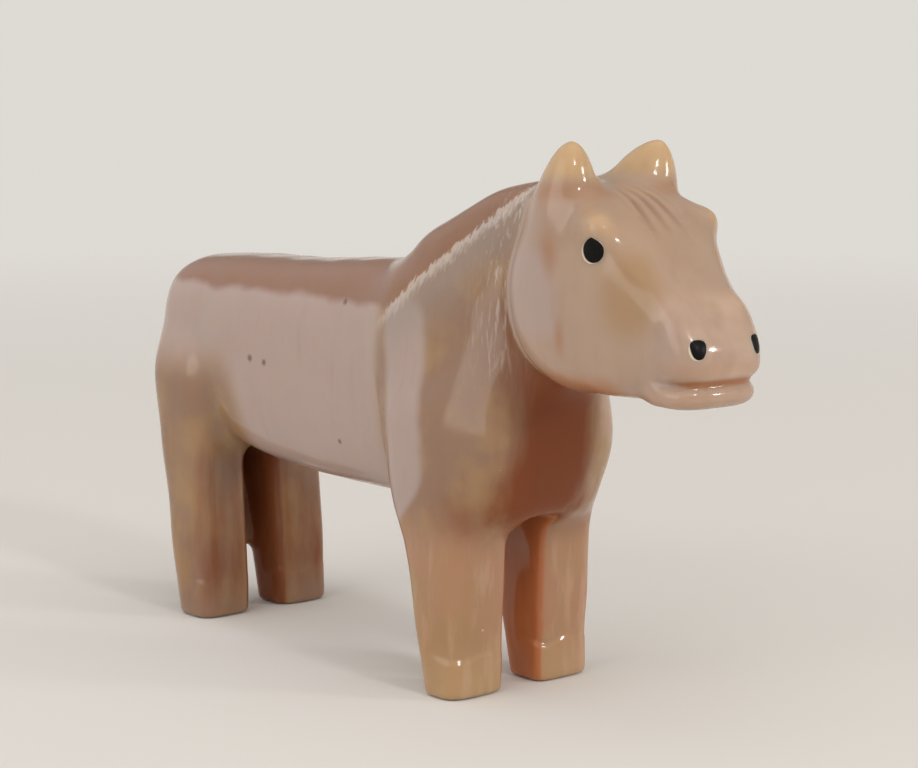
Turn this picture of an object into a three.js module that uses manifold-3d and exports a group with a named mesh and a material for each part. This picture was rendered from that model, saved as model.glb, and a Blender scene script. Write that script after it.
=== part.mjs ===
import * as THREE from "three";
import { mergeVertices } from "three/addons/utils/BufferGeometryUtils.js";
import Module from "manifold-3d";

// Horse fetish: one carved stone with inlaid eyes and nostrils.
// Lengths are in millimetres. +X is the way the horse looks, +Y is its left side, +Z is up.
// Sizes are given in carving coordinates: X = 0 is midway between the front and hind legs,
// and Z = 0 is the ground. The finished group is then centred along X.

// Stance
const LEG_SPACING = 37.2; // front leg axis to hind leg axis on the ground
const SOLE_TRIM = 1.2; // stone left under the feet until the soles are ground flat

// Barrel
const RUMP_OVERHANG = 7.7; // rump behind the hind leg axis
const RUMP_TOP = 33.6;
const CROUP_TOP = 34.2;
const LOIN_TOP = 34.4;
const GIRTH_TOP = 35.4;
const RUMP_BOTTOM = 17.2;
const CROUP_BOTTOM = 16.6;
const LOIN_BOTTOM = 15.4;
const GIRTH_BOTTOM = 14.9;
const RUMP_WIDTH = 12.8;
const CROUP_WIDTH = 13.2;
const LOIN_WIDTH = 12.6;
const GIRTH_WIDTH = 12;
const RUMP_ROUNDING = 4.4;

// Chest, as sections stacked upwards
const BRISKET_HEIGHT = 14.2;
const SHOULDER_HEIGHT = 21;
const NECK_BASE_HEIGHT = 31;
const CHEST_TOP_HEIGHT = 36.5;
const CHEST_SETBACK = 0.7; // chest centre behind the front leg axis
const BRISKET_LEAN = 0.5; // brisket behind the chest centre
const NECK_BASE_LEAN = 1.1; // neck base behind the chest centre
const CHEST_TOP_REACH = 0.6; // chest top ahead of the chest centre
const BRISKET_LENGTH = 12.4;
const SHOULDER_LENGTH = 16;
const NECK_BASE_LENGTH = 15.8;
const CHEST_TOP_LENGTH = 13.2;
const BRISKET_WIDTH = 14.8;
const SHOULDER_WIDTH = 16.5;
const NECK_BASE_WIDTH = 12.8;
const CHEST_TOP_WIDTH = 9.6;
const BRISKET_ROUNDING = 2.5;

// Neck, as sections from inside the back to the nape
const NECK_START = 15; // first neck section behind the front leg axis
const NECK_LENGTH = 26;
const NECK_BOTTOM = 24;
const WITHERS_TOP = 31;
const MANE_TOP = 37.7;
const CREST_TOP = 41.9;
const WITHERS_WIDTH = 8.4;
const MANE_WIDTH = 9.8;
const CREST_WIDTH = 9.2;
const NAPE_WIDTH = 8;

// Head, as sections from the nape to the muzzle
const MUZZLE_REACH = 25.5; // muzzle ahead of the front leg axis
const HEAD_LENGTH = 20;
const NAPE_TOP = 42.6;
const POLL_TOP = 43;
const FOREHEAD_TOP = 41.5;
const STOP_TOP = 39.6;
const BRIDGE_TOP = 37;
const NOSE_TOP = 32.7;
const THROAT_BOTTOM = 30;
const CHEEK_BOTTOM = 27.1;
const JAW_BOTTOM = 26.6;
const HEAD_BACK_WIDTH = 8.8;
const CHEEK_WIDTH = 11.4;
const TEMPLE_WIDTH = 12.8;
const STOP_WIDTH = 11.7;
const BRIDGE_WIDTH = 9.6;
const MUZZLE_WIDTH = 9.5;
const MUZZLE_ROUNDING = 2.4;
const MUZZLE_BOW = 24; // radius of the front of the muzzle, seen from above

// Jowls: one thick disc across the back of the head
const JOWL_SETBACK = 13.5; // jowl centre behind the muzzle
const JOWL_HEIGHT = 34.1;
const JOWL_LENGTH = 14;
const JOWL_WIDTH = 12.6;
const JOWL_DEPTH = 14.4;

// Brows
const BROW_SETBACK = 7.8;
const BROW_HEIGHT = 40.3;
const BROW_SPREAD = 13;
const BROW_RISE = 1.2;
const BROW_SPAN = 1.8;

// Lower lip and the cut between the lips
const LIP_SETBACK = 3.3; // lip centre behind the muzzle
const LIP_BOTTOM = 26.35;
const LIP_TOP = 28.1;
const LIP_LENGTH = 5.8;
const LIP_WIDTH = 9;
const MOUTH_HEIGHT = 28.2;
const MOUTH_LENGTH = 3.4;
const MOUTH_DEPTH = 0.6;
const MOUTH_GAP = 0.45;

// Ears
const EAR_TIP_HEIGHT = 46;
const EAR_TIP_SETBACK = 12.5;
const EAR_TIP_SPREAD = 9.5;
const EAR_ROOT_HEIGHT = 40;
const EAR_ROOT_SETBACK = 14.5;
const EAR_ROOT_SPREAD = 7.4;
const EAR_WIDTH = 5.4; // the narrow way
const EAR_FLARE = 1.2; // broad way over narrow way
const EAR_TURN = THREE.MathUtils.degToRad(50); // broad way, outwards from straight ahead

// Legs
const HOOF_HEIGHT = 3.3;
const LEG_TOP_HEIGHT = 26;
const FRONT_LEG = {
  track: 9.4, // left leg axis to right leg axis
  hoofLength: 4.7,
  hoofWidth: 6.4,
  kneeHeight: 9,
  kneeLean: 0.6, // knee behind the hoof
  kneeLength: 6.4,
  kneeWidth: 6.9,
  thighHeight: 18,
  thighLean: 1.8, // thigh behind the hoof
  thighInset: 0.2, // thigh nearer the middle than the hoof
  thighLength: 9.8,
  thighWidth: 7.3,
};
const HIND_LEG = {
  track: 9,
  hoofLength: 5.2,
  hoofWidth: 5.9,
  kneeHeight: 9,
  kneeLean: 0.8,
  kneeLength: 6.1,
  kneeWidth: 6.1,
  thighHeight: 18,
  thighLean: 2.2,
  thighInset: 0.2,
  thighLength: 7.8,
  thighWidth: 6.2,
};

// Saw cut that parts the front legs
const SAW_CUT_WIDTH = 3.5;
const SAW_CUT_TOP = 15;
const SAW_CUT_DEPTH = 8; // its end behind the front leg axis

// Tail, carved against the rump and between the hind legs
const TAIL_END_HEIGHT = 6;
const TAIL_ROOT_HEIGHT = 32;
const TAIL_END_INSET = 4.4; // tail centre inside the back of the rump, at the end
const TAIL_INSET = 1.2; // the same at mid height
const TAIL_ROOT_INSET = 3.3; // the same at the root
const TAIL_THICKNESS = 3.7;
const TAIL_END_WIDTH = 6.2;
const TAIL_ROOT_WIDTH = 2.9;

// Fillets where one mass runs into the next
const NECK_FILLET = 4;
const FRONT_LEG_FILLET = 2;
const HIND_LEG_FILLET = 2.5;
const SHOULDER_FILLET = 2.2;
const JOWL_FILLET = 1.6;
const EAR_FILLET = 1.2;
const LIP_FILLET = 0.8;
const NECKLINE_FILLET = 0.7;
const TAIL_FILLET = 1;
const END_ROUNDING = 4;
const EDGE_ROUNDING = 1.2;

// Squareness of the sections: 2 is an ellipse, larger is boxier, smaller is more pointed
const BODY_SQUARE = 2.8;
const CHEST_SQUARE = 3.3;
const NECK_SQUARE = 3;
const LEG_SQUARE = 3.4;
const TAIL_SQUARE = 2.2;
const LIP_SQUARE = 2.8;
const TEMPLE_SQUARE = 5.2;
const MUZZLE_SQUARE = 2.9;
const JOWL_SQUARE = 3.4;
const EAR_SQUARE = 1.7;

// Inlays: pegs glued into blind sockets
const EYE_SETBACK = 8.4; // eye behind the muzzle
const EYE_HEIGHT = 38;
const EYE_WIDTH = 2.05;
const EYE_TALL = 2.1;
const EYE_POINT = 0.62; // 1 makes the top of an eye round, smaller makes it pointed
const EYE_PEG_DEPTH = 2.2;
const NOSTRIL_SETBACK = 7.1; // where the line of sight of the nostrils leaves the middle plane
const NOSTRIL_HEIGHT = 31;
const NOSTRIL_TURN = THREE.MathUtils.degToRad(25); // nostrils face this far outwards from straight ahead
const NOSTRIL_WIDTH = 1.45;
const NOSTRIL_TALL = 1.45;
const NOSTRIL_PEG_DEPTH = 1.6;
const INLAY_PROUD = 0.15; // inlay face above the stone
const INLAY_EASE = 0.12; // eased edge of an inlay
const GLUE_THICKNESS = 0.3;
const SOCKET_CLEARANCE = 0.1; // all round a peg, and above and below its glue

// Grid that the stone is faceted on, as numbers of cells
const QUARTERS_CELLS = 13;
const BARREL_CELLS = 8;
const CHEST_CELLS = 10;
const HEAD_CELLS = 21;
const CROSS_CELLS = 20;
const LEG_CELLS = 11;
const HEIGHT_CELLS = 30;
const GRID_MARGIN = 1;

const FRONT_X = LEG_SPACING / 2;
const HIND_X = -LEG_SPACING / 2;
const RUMP_X = HIND_X - RUMP_OVERHANG;
const MUZZLE_X = FRONT_X + MUZZLE_REACH;
const NAPE_X = MUZZLE_X - HEAD_LENGTH;
const CHEST_X = FRONT_X - CHEST_SETBACK;

const wasm = await Module();
wasm.setup();

// Joins two distances with a fillet where they are nearly equal.
function blend(a, b, fillet) {
  const near = Math.max(fillet - Math.abs(a - b), 0) / fillet;
  return Math.min(a, b) - (near * near * fillet) / 4;
}

// Keeps what lies inside both distances, with a rounded edge.
function trim(a, b, rounding) {
  return -blend(-a, -b, rounding);
}

// A smooth curve through [place, value] points. Beyond them it keeps its end value.
function curve(points) {
  const last = points.length - 1;
  const step = points.slice(1).map((point, i) => point[0] - points[i][0]);
  const slope = step.map((length, i) => (points[i + 1][1] - points[i][1]) / length);
  const tangent = points.map((point, i) => {
    if (i === 0) return slope[0];
    if (i === last) return slope[last - 1];
    return (slope[i - 1] * step[i] + slope[i] * step[i - 1]) / (step[i] + step[i - 1]);
  });
  return (place) => {
    if (place <= points[0][0]) return points[0][1];
    if (place >= points[last][0]) return points[last][1];
    let i = 0;
    while (place > points[i + 1][0]) i += 1;
    const t = (place - points[i][0]) / step[i];
    const rise = points[i + 1][1] - points[i][1];
    const start = tangent[i] * step[i];
    const end = tangent[i + 1] * step[i];
    return points[i][1] + t * (start + t * (3 * rise - 2 * start - end + t * (start + end - 2 * rise)));
  };
}

// Distance from a rounded-box section with the given half sizes, good near its outline.
function sectionDistance(u, v, halfU, halfV, square) {
  const a = Math.abs(u) / halfU;
  const b = Math.abs(v) / halfV;
  const q = Math.max((a ** square + b ** square) ** (1 / square), 1e-6);
  const slopeU = (a / q) ** (square - 1) / halfU;
  const slopeV = (b / q) ** (square - 1) / halfV;
  return (q - 1) / Math.hypot(slopeU, slopeV);
}

// A mass with sections across X, each with a top, a bottom and a width.
// Its front end is bowed to the given radius, or flat.
function massAlongX(sections, squareAt, backRounding, frontRounding, frontBow = Infinity) {
  const through = (name) => curve(sections.map((section) => [section.x, section[name]]));
  const top = through("top");
  const bottom = through("bottom");
  const width = through("width");
  const back = sections[0].x;
  const front = sections[sections.length - 1].x;
  return (x, y, z) => {
    const high = top(x);
    const low = bottom(x);
    const halfTall = (high - low) / 2;
    const inside = sectionDistance(y, z - low - halfTall, width(x) / 2, halfTall, squareAt(x));
    const ahead = x + (y * y) / (2 * frontBow) - front;
    return trim(trim(inside, back - x, backRounding), ahead, frontRounding);
  };
}

// A mass with sections stacked along Z, each with a centre, a length along X and a width along Y.
function massAlongZ(sections, square, lowRounding, highRounding) {
  const through = (name) => curve(sections.map((section) => [section.z, section[name]]));
  const centreX = through("x");
  const centreY = through("y");
  const length = through("length");
  const width = through("width");
  const low = sections[0].z;
  const high = sections[sections.length - 1].z;
  return (x, y, z) => {
    const inside = sectionDistance(x - centreX(z), y - centreY(z), length(z) / 2, width(z) / 2, square);
    return trim(trim(inside, low - z, lowRounding), z - high, highRounding);
  };
}

const barrel = massAlongX(
  [
    { x: RUMP_X, top: RUMP_TOP, bottom: RUMP_BOTTOM, width: RUMP_WIDTH },
    { x: HIND_X, top: CROUP_TOP, bottom: CROUP_BOTTOM, width: CROUP_WIDTH },
    { x: HIND_X / 2, top: LOIN_TOP, bottom: LOIN_BOTTOM, width: LOIN_WIDTH },
    { x: FRONT_X / 2, top: GIRTH_TOP, bottom: GIRTH_BOTTOM, width: GIRTH_WIDTH },
    { x: FRONT_X, top: GIRTH_TOP, bottom: GIRTH_BOTTOM, width: GIRTH_WIDTH },
  ],
  () => BODY_SQUARE,
  RUMP_ROUNDING,
  END_ROUNDING,
);

const chest = massAlongZ(
  [
    { z: BRISKET_HEIGHT, lean: BRISKET_LEAN, length: BRISKET_LENGTH, width: BRISKET_WIDTH },
    { z: SHOULDER_HEIGHT, lean: 0, length: SHOULDER_LENGTH, width: SHOULDER_WIDTH },
    { z: NECK_BASE_HEIGHT, lean: NECK_BASE_LEAN, length: NECK_BASE_LENGTH, width: NECK_BASE_WIDTH },
    { z: CHEST_TOP_HEIGHT, lean: -CHEST_TOP_REACH, length: CHEST_TOP_LENGTH, width: CHEST_TOP_WIDTH },
  ].map((section) => ({ ...section, x: CHEST_X - section.lean, y: 0 })),
  CHEST_SQUARE,
  BRISKET_ROUNDING,
  END_ROUNDING,
);

// Places along the neck are shares of its length.
const alongNeck = (share) => FRONT_X - NECK_START + share * NECK_LENGTH;
const neck = massAlongX(
  [
    { x: alongNeck(0), top: WITHERS_TOP, bottom: NECK_BOTTOM, width: WITHERS_WIDTH },
    { x: alongNeck(0.31), top: MANE_TOP, bottom: NECK_BOTTOM, width: MANE_WIDTH },
    { x: alongNeck(0.62), top: CREST_TOP, bottom: NECK_BOTTOM, width: CREST_WIDTH },
    { x: alongNeck(1), top: POLL_TOP, bottom: CHEEK_BOTTOM, width: NAPE_WIDTH },
  ],
  () => NECK_SQUARE,
  EDGE_ROUNDING,
  EDGE_ROUNDING,
);

// Places along the head are shares of its length from the nape to the muzzle.
const alongHead = (share) => NAPE_X + share * HEAD_LENGTH;
const skull = massAlongX(
  [
    { x: alongHead(0), top: NAPE_TOP, bottom: THROAT_BOTTOM, width: HEAD_BACK_WIDTH },
    { x: alongHead(0.28), top: POLL_TOP, bottom: CHEEK_BOTTOM, width: CHEEK_WIDTH },
    { x: alongHead(0.53), top: FOREHEAD_TOP, bottom: JAW_BOTTOM, width: TEMPLE_WIDTH },
    { x: alongHead(0.65), top: STOP_TOP, bottom: JAW_BOTTOM, width: STOP_WIDTH },
    { x: alongHead(0.775), top: BRIDGE_TOP, bottom: JAW_BOTTOM, width: BRIDGE_WIDTH },
    { x: alongHead(1), top: NOSE_TOP, bottom: JAW_BOTTOM, width: MUZZLE_WIDTH },
  ],
  curve([
    [alongHead(0.57), TEMPLE_SQUARE],
    [alongHead(0.83), MUZZLE_SQUARE],
  ]),
  END_ROUNDING,
  MUZZLE_ROUNDING,
  MUZZLE_BOW,
);

const lip = massAlongZ(
  [
    { z: LIP_BOTTOM, x: MUZZLE_X - LIP_SETBACK, y: 0, length: LIP_LENGTH, width: LIP_WIDTH },
    { z: LIP_TOP, x: MUZZLE_X - LIP_SETBACK, y: 0, length: LIP_LENGTH, width: LIP_WIDTH },
  ],
  LIP_SQUARE,
  EDGE_ROUNDING,
  EDGE_ROUNDING / 2,
);

// One leg of a pair, on the left side. Its foot runs on below the ground until the soles are cut.
function leg(axisX, size) {
  const y = size.track / 2;
  const hoof = { x: axisX, y, length: size.hoofLength, width: size.hoofWidth };
  const knee = { x: axisX - size.kneeLean, y, length: size.kneeLength, width: size.kneeWidth };
  const thigh = {
    x: axisX - size.thighLean,
    y: y - size.thighInset,
    length: size.thighLength,
    width: size.thighWidth,
  };
  return massAlongZ(
    [
      { z: -SOLE_TRIM, ...hoof },
      { z: HOOF_HEIGHT, ...hoof },
      { z: size.kneeHeight, ...knee },
      { z: size.thighHeight, ...thigh },
      { z: LEG_TOP_HEIGHT, ...thigh },
    ],
    LEG_SQUARE,
    EDGE_ROUNDING,
    END_ROUNDING,
  );
}
const frontLeg = leg(FRONT_X, FRONT_LEG);
const hindLeg = leg(HIND_X, HIND_LEG);

// The tail bows out to the rump and narrows upwards.
const tailSections = [
  { share: 0, inset: TAIL_END_INSET },
  { share: 0.5, inset: TAIL_INSET },
  { share: 0.8, inset: TAIL_INSET },
  { share: 1, inset: TAIL_ROOT_INSET },
].map(({ share, inset }) => ({
  z: THREE.MathUtils.lerp(TAIL_END_HEIGHT, TAIL_ROOT_HEIGHT, share),
  x: RUMP_X + inset,
  y: 0,
  length: TAIL_THICKNESS,
  width: THREE.MathUtils.lerp(TAIL_END_WIDTH, TAIL_ROOT_WIDTH, share),
}));
const tail = massAlongZ(tailSections, TAIL_SQUARE, EDGE_ROUNDING, END_ROUNDING);

// The left ear: a flattened spindle from its root inside the head to its tip.
const earRoot = new THREE.Vector3(MUZZLE_X - EAR_ROOT_SETBACK, EAR_ROOT_SPREAD / 2, EAR_ROOT_HEIGHT);
const earTip = new THREE.Vector3(MUZZLE_X - EAR_TIP_SETBACK, EAR_TIP_SPREAD / 2, EAR_TIP_HEIGHT);
const earAxis = earTip.clone().sub(earRoot);
const earLength = earAxis.length();
earAxis.normalize();
const earBroadWay = new THREE.Vector3(Math.cos(EAR_TURN), Math.sin(EAR_TURN), 0);
earBroadWay.projectOnPlane(earAxis).normalize();
const earNarrowWay = earAxis.clone().cross(earBroadWay);
function ear(x, y, z) {
  const offset = new THREE.Vector3(x, y, z).sub(earRoot);
  const across = Math.hypot(offset.dot(earBroadWay) / EAR_FLARE, offset.dot(earNarrowWay));
  return sectionDistance(offset.dot(earAxis), across, earLength, EAR_WIDTH / 2, EAR_SQUARE);
}

// The jowls: a disc that faces sideways, longer or deeper as its sizes say, with a rounded rim.
function jowls(x, y, z) {
  const share = Math.hypot((x - MUZZLE_X + JOWL_SETBACK) / JOWL_LENGTH, (z - JOWL_HEIGHT) / JOWL_DEPTH);
  const radius = (JOWL_LENGTH + JOWL_DEPTH) / 4;
  return sectionDistance(2 * share * radius, y, radius, JOWL_WIDTH / 2, JOWL_SQUARE);
}

// How far the skull swells outwards over the left eye.
function browSwell(x, y, z) {
  const away = Math.hypot(x - (MUZZLE_X - BROW_SETBACK), y - BROW_SPREAD / 2, z - BROW_HEIGHT);
  return BROW_RISE * Math.exp(-((away / BROW_SPAN) ** 2));
}

function head(x, y, z) {
  const rounded = blend(skull(x, y, z), jowls(x, y, z), JOWL_FILLET);
  const browed = rounded - browSwell(x, y, z);
  const eared = blend(browed, ear(x, y, z), EAR_FILLET);
  return blend(eared, lip(x, y, z), LIP_FILLET);
}

// Distance from the whole stone, negative inside. Both sides of the horse are alike.
function stone(x, y, z) {
  const side = Math.abs(y);
  const neckAndChest = blend(chest(x, side, z), neck(x, side, z), NECK_FILLET);
  const forehand = blend(neckAndChest, frontLeg(x, side, z), FRONT_LEG_FILLET);
  const quarters = blend(barrel(x, side, z), hindLeg(x, side, z), HIND_LEG_FILLET);
  const trunk = blend(blend(quarters, forehand, SHOULDER_FILLET), tail(x, side, z), TAIL_FILLET);
  return blend(trunk, head(x, side, z), NECKLINE_FILLET);
}

// Outward direction of the stone's surface near a point, and how fast the distance grows there.
function slopeAt(point) {
  const reach = 1e-3;
  const change = (dx, dy, dz) =>
    stone(point.x + dx, point.y + dy, point.z + dz) - stone(point.x - dx, point.y - dy, point.z - dz);
  const slope = new THREE.Vector3(change(reach, 0, 0), change(0, reach, 0), change(0, 0, reach));
  return slope.divideScalar(2 * reach);
}

// Moves a point along the slope until it lies on the stone's surface.
function pullToSurface(point) {
  for (let pass = 0; pass < 3; pass += 1) {
    const slope = slopeAt(point);
    const gain = stone(point.x, point.y, point.z) / Math.max(slope.lengthSq(), 0.05);
    point.addScaledVector(slope, -gain);
  }
  return point;
}

// Evenly spaced grid lines between two places.
function lines(from, to, cells) {
  return Array.from({ length: cells + 1 }, (unused, i) => THREE.MathUtils.lerp(from, to, i / cells));
}

// Facets the surface of the stone on a grid. Each sheet of surface that passes through a grid cell
// gets one corner there, and each grid edge that the surface crosses gets one four-sided face.
function facetStone(xs, ys, zs) {
  const spans = [1, xs.length, xs.length * ys.length];
  const nodeAt = (i, j, k) => i * spans[0] + j * spans[1] + k * spans[2];
  const values = new Float64Array(xs.length * ys.length * zs.length);
  const places = [];
  zs.forEach((z, k) => {
    ys.forEach((y, j) => {
      xs.forEach((x, i) => {
        values[nodeAt(i, j, k)] = stone(x, y, z);
        places.push(new THREE.Vector3(x, y, z));
      });
    });
  });
  const isInside = (node) => values[node] < 0;
  const edgeBetween = (p, q) => 3 * Math.min(p, q) + spans.indexOf(Math.abs(p - q));
  const crossingOn = (edge) => {
    const from = Math.floor(edge / 3);
    const to = from + spans[edge % 3];
    const share = values[from] / (values[from] - values[to]);
    return places[from].clone().lerp(places[to], share);
  };

  // The nodes round each of the six faces of a cell, counted from the cell's first node.
  const faceLoops = [0, 1, 2].flatMap((axis) => {
    const u = spans[(axis + 1) % 3];
    const v = spans[(axis + 2) % 3];
    const loop = [0, u, u + v, v];
    return [loop, loop.map((node) => node + spans[axis])];
  });

  // For each crossed edge of a cell, the two crossed edges that the surface runs to from it.
  const linksIn = (cell) => {
    const links = new Map();
    const link = (a, b) => links.set(a, [...(links.get(a) ?? []), b]);
    faceLoops.forEach((loop) => {
      const node = (n) => cell + loop[n % 4];
      [0, 1, 2, 3].forEach((start) => {
        if (isInside(node(start)) || !isInside(node(start + 1))) return;
        let end = start + 1;
        while (isInside(node(end + 1))) end += 1;
        const entry = edgeBetween(node(start), node(start + 1));
        const exit = edgeBetween(node(end), node(end + 1));
        link(entry, exit);
        link(exit, entry);
      });
    });
    return links;
  };

  const positions = [];
  const cornersOf = new Map();
  const cornerFor = (cell, edge) => {
    if (!cornersOf.has(cell)) {
      const links = linksIn(cell);
      const corners = new Map();
      [...links.keys()].forEach((first) => {
        if (corners.has(first)) return;
        const sum = new THREE.Vector3();
        let crossings = 0;
        let next = first;
        while (next !== undefined) {
          corners.set(next, positions.length / 3);
          sum.add(crossingOn(next));
          crossings += 1;
          next = links.get(next).find((other) => !corners.has(other));
        }
        positions.push(...pullToSurface(sum.divideScalar(crossings)).toArray());
      });
      cornersOf.set(cell, corners);
    }
    return cornersOf.get(cell).get(edge);
  };

  const gapBetween = (p, q) =>
    Math.hypot(...[0, 1, 2].map((axis) => positions[3 * p + axis] - positions[3 * q + axis]));
  const triangles = [];
  const addFace = (a, b, c, d) => {
    if (gapBetween(a, c) < gapBetween(b, d)) triangles.push(a, b, c, a, c, d);
    else triangles.push(a, b, d, b, c, d);
  };
  values.forEach((value, node) => {
    spans.forEach((span, axis) => {
      if (node + span >= values.length || isInside(node) === isInside(node + span)) return;
      const edge = edgeBetween(node, node + span);
      const u = spans[(axis + 1) % 3];
      const v = spans[(axis + 2) % 3];
      const face = [node - u - v, node - v, node, node - u].map((cell) => cornerFor(cell, edge));
      addFace(...(isInside(node) ? face : face.reverse()));
    });
  });
  const geometry = new THREE.BufferGeometry();
  geometry.setAttribute("position", new THREE.Float32BufferAttribute(positions, 3));
  geometry.setIndex(triangles);
  return geometry;
}

// A closed geometry as a solid that can be cut.
function toSolid(geometry) {
  const bare = new THREE.BufferGeometry();
  bare.setAttribute("position", geometry.getAttribute("position"));
  bare.setIndex(geometry.index);
  const welded = mergeVertices(bare, 1e-5);
  return new wasm.Manifold(
    new wasm.Mesh({
      numProp: 3,
      vertProperties: Float32Array.from(welded.getAttribute("position").array),
      triVerts: Uint32Array.from(welded.index.array),
    }),
  );
}

function toGeometry(solid) {
  const mesh = solid.getMesh();
  const geometry = new THREE.BufferGeometry();
  geometry.setAttribute("position", new THREE.BufferAttribute(mesh.vertProperties, 3));
  geometry.setIndex(new THREE.BufferAttribute(mesh.triVerts, 1));
  geometry.computeVertexNormals();
  return geometry;
}

// Face of an eye: round below, drawn up to a blunt point.
function eyeOutline(width, tall) {
  const radius = width / 2;
  const tip = tall - radius;
  const outline = new THREE.Shape();
  outline.absarc(0, 0, radius, Math.PI, 2 * Math.PI, false);
  outline.quadraticCurveTo(radius, EYE_POINT * tip, 0, tip);
  outline.quadraticCurveTo(-radius, EYE_POINT * tip, -radius, 0);
  return outline;
}

// Face of a nostril: a shield, flat above and round below.
function nostrilOutline(width, tall) {
  const half = width / 2;
  const top = tall / 2;
  const outline = new THREE.Shape();
  outline.moveTo(-half / 2, top);
  outline.lineTo(half / 2, top);
  outline.quadraticCurveTo(half, top, half, top / 2);
  outline.quadraticCurveTo(half, -top, 0, -top);
  outline.quadraticCurveTo(-half, -top, -half, top / 2);
  outline.quadraticCurveTo(-half, top, -half / 2, top);
  return outline;
}

// A straight plug of the given outline from one level to another along its own Z.
function plug(outline, from, to) {
  const geometry = new THREE.ExtrudeGeometry(outline, {
    depth: to - from,
    bevelEnabled: false,
    curveSegments: 6,
  });
  return geometry.translate(0, 0, from);
}

// A plug with eased edges at both ends.
function easedPlug(outline, from, to) {
  const geometry = new THREE.ExtrudeGeometry(outline, {
    depth: to - from - 2 * INLAY_EASE,
    bevelEnabled: true,
    bevelThickness: INLAY_EASE,
    bevelSize: INLAY_EASE,
    bevelOffset: -INLAY_EASE,
    bevelSegments: 1,
    curveSegments: 6,
  });
  return geometry.translate(0, 0, from + INLAY_EASE);
}

// Where a line from inside the stone comes out of it.
function exitPoint(start, direction) {
  let inside = 0;
  let outside = SHOULDER_WIDTH;
  for (let pass = 0; pass < 40; pass += 1) {
    const middle = (inside + outside) / 2;
    const point = start.clone().addScaledVector(direction, middle);
    if (stone(point.x, point.y, point.z) < 0) inside = middle;
    else outside = middle;
  }
  return start.clone().addScaledVector(direction, inside);
}

// A group on the stone's surface: its own Z points out of the stone and its Y is upwards.
function seatOnStone(start, direction) {
  const point = exitPoint(start, direction);
  const out = slopeAt(point).normalize();
  const across = new THREE.Vector3(0, 0, 1).cross(out).normalize();
  const up = out.clone().cross(across);
  const seat = new THREE.Group();
  seat.position.copy(point);
  seat.quaternion.setFromRotationMatrix(new THREE.Matrix4().makeBasis(across, up, out));
  seat.updateMatrix();
  return seat;
}

// Colours and roughness of the three materials
const STONE = { color: 0xc2a086, roughness: 0.25, metalness: 0 };
const JET = { color: 0x14110f, roughness: 0.2, metalness: 0 };
const GLUE = { color: 0xb8a06a, roughness: 0.5, metalness: 0 };

function namedMesh(name, geometry, finish) {
  const mesh = new THREE.Mesh(geometry, new THREE.MeshStandardMaterial(finish));
  mesh.name = name;
  return mesh;
}

const carving = new THREE.Group();
const sockets = [];

// One inlay with its glue, on a seat of its own, and the socket that takes both.
function setInlay(name, seat, outlineOf, width, tall, depth) {
  const glueTop = -depth - SOCKET_CLEARANCE;
  const glueBottom = glueTop - GLUE_THICKNESS;
  const floor = glueBottom - SOCKET_CLEARANCE;
  const outline = outlineOf(width, tall);
  const wide = outlineOf(width + 2 * SOCKET_CLEARANCE, tall + 2 * SOCKET_CLEARANCE);
  seat.add(namedMesh(name, easedPlug(outline, -depth, INLAY_PROUD), JET));
  seat.add(namedMesh(name + "_glue", plug(outline, glueBottom, glueTop), GLUE));
  carving.add(seat);
  sockets.push(plug(wide, floor, depth).applyMatrix4(seat.matrix));
}

[["right", -1], ["left", 1]].forEach(([side, sign]) => {
  const eyeStart = new THREE.Vector3(MUZZLE_X - EYE_SETBACK, 0, EYE_HEIGHT);
  const eyeSeat = seatOnStone(eyeStart, new THREE.Vector3(0, sign, 0));
  const eyeSize = [EYE_WIDTH, EYE_TALL, EYE_PEG_DEPTH];
  setInlay(side + "_eye", eyeSeat, eyeOutline, ...eyeSize);

  const nostrilStart = new THREE.Vector3(MUZZLE_X - NOSTRIL_SETBACK, 0, NOSTRIL_HEIGHT);
  const outwards = new THREE.Vector3(Math.cos(NOSTRIL_TURN), sign * Math.sin(NOSTRIL_TURN), 0);
  const nostrilSeat = seatOnStone(nostrilStart, outwards);
  const nostrilSize = [NOSTRIL_WIDTH, NOSTRIL_TALL, NOSTRIL_PEG_DEPTH];
  setInlay(side + "_nostril", nostrilSeat, nostrilOutline, ...nostrilSize);
});

// Cutter for the mouth: a thin plate round the muzzle that leaves the middle of it standing.
function mouthCutter() {
  const corner = new THREE.Vector3(MUZZLE_X - MOUTH_LENGTH, 0, MOUTH_HEIGHT);
  const front = exitPoint(corner, new THREE.Vector3(1, 0, 0)).x - MOUTH_DEPTH;
  const half = exitPoint(corner, new THREE.Vector3(0, 1, 0)).y - MOUTH_DEPTH;
  const bend = front - MUZZLE_ROUNDING;
  const behind = corner.x - GRID_MARGIN;
  const standing = new THREE.Shape();
  standing.moveTo(behind, -half);
  standing.lineTo(bend, -half);
  standing.quadraticCurveTo(front, -half, front, 0);
  standing.quadraticCurveTo(front, half, bend, half);
  standing.lineTo(behind, half);
  const low = MOUTH_HEIGHT - MOUTH_GAP / 2;
  const core = plug(standing, low - MOUTH_GAP, low + 2 * MOUTH_GAP);
  const plate = new THREE.BoxGeometry(2 * MOUTH_LENGTH, 2 * MUZZLE_WIDTH, MOUTH_GAP);
  plate.translate(MUZZLE_X, 0, MOUTH_HEIGHT);
  return toSolid(plate).subtract(toSolid(core));
}

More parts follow.
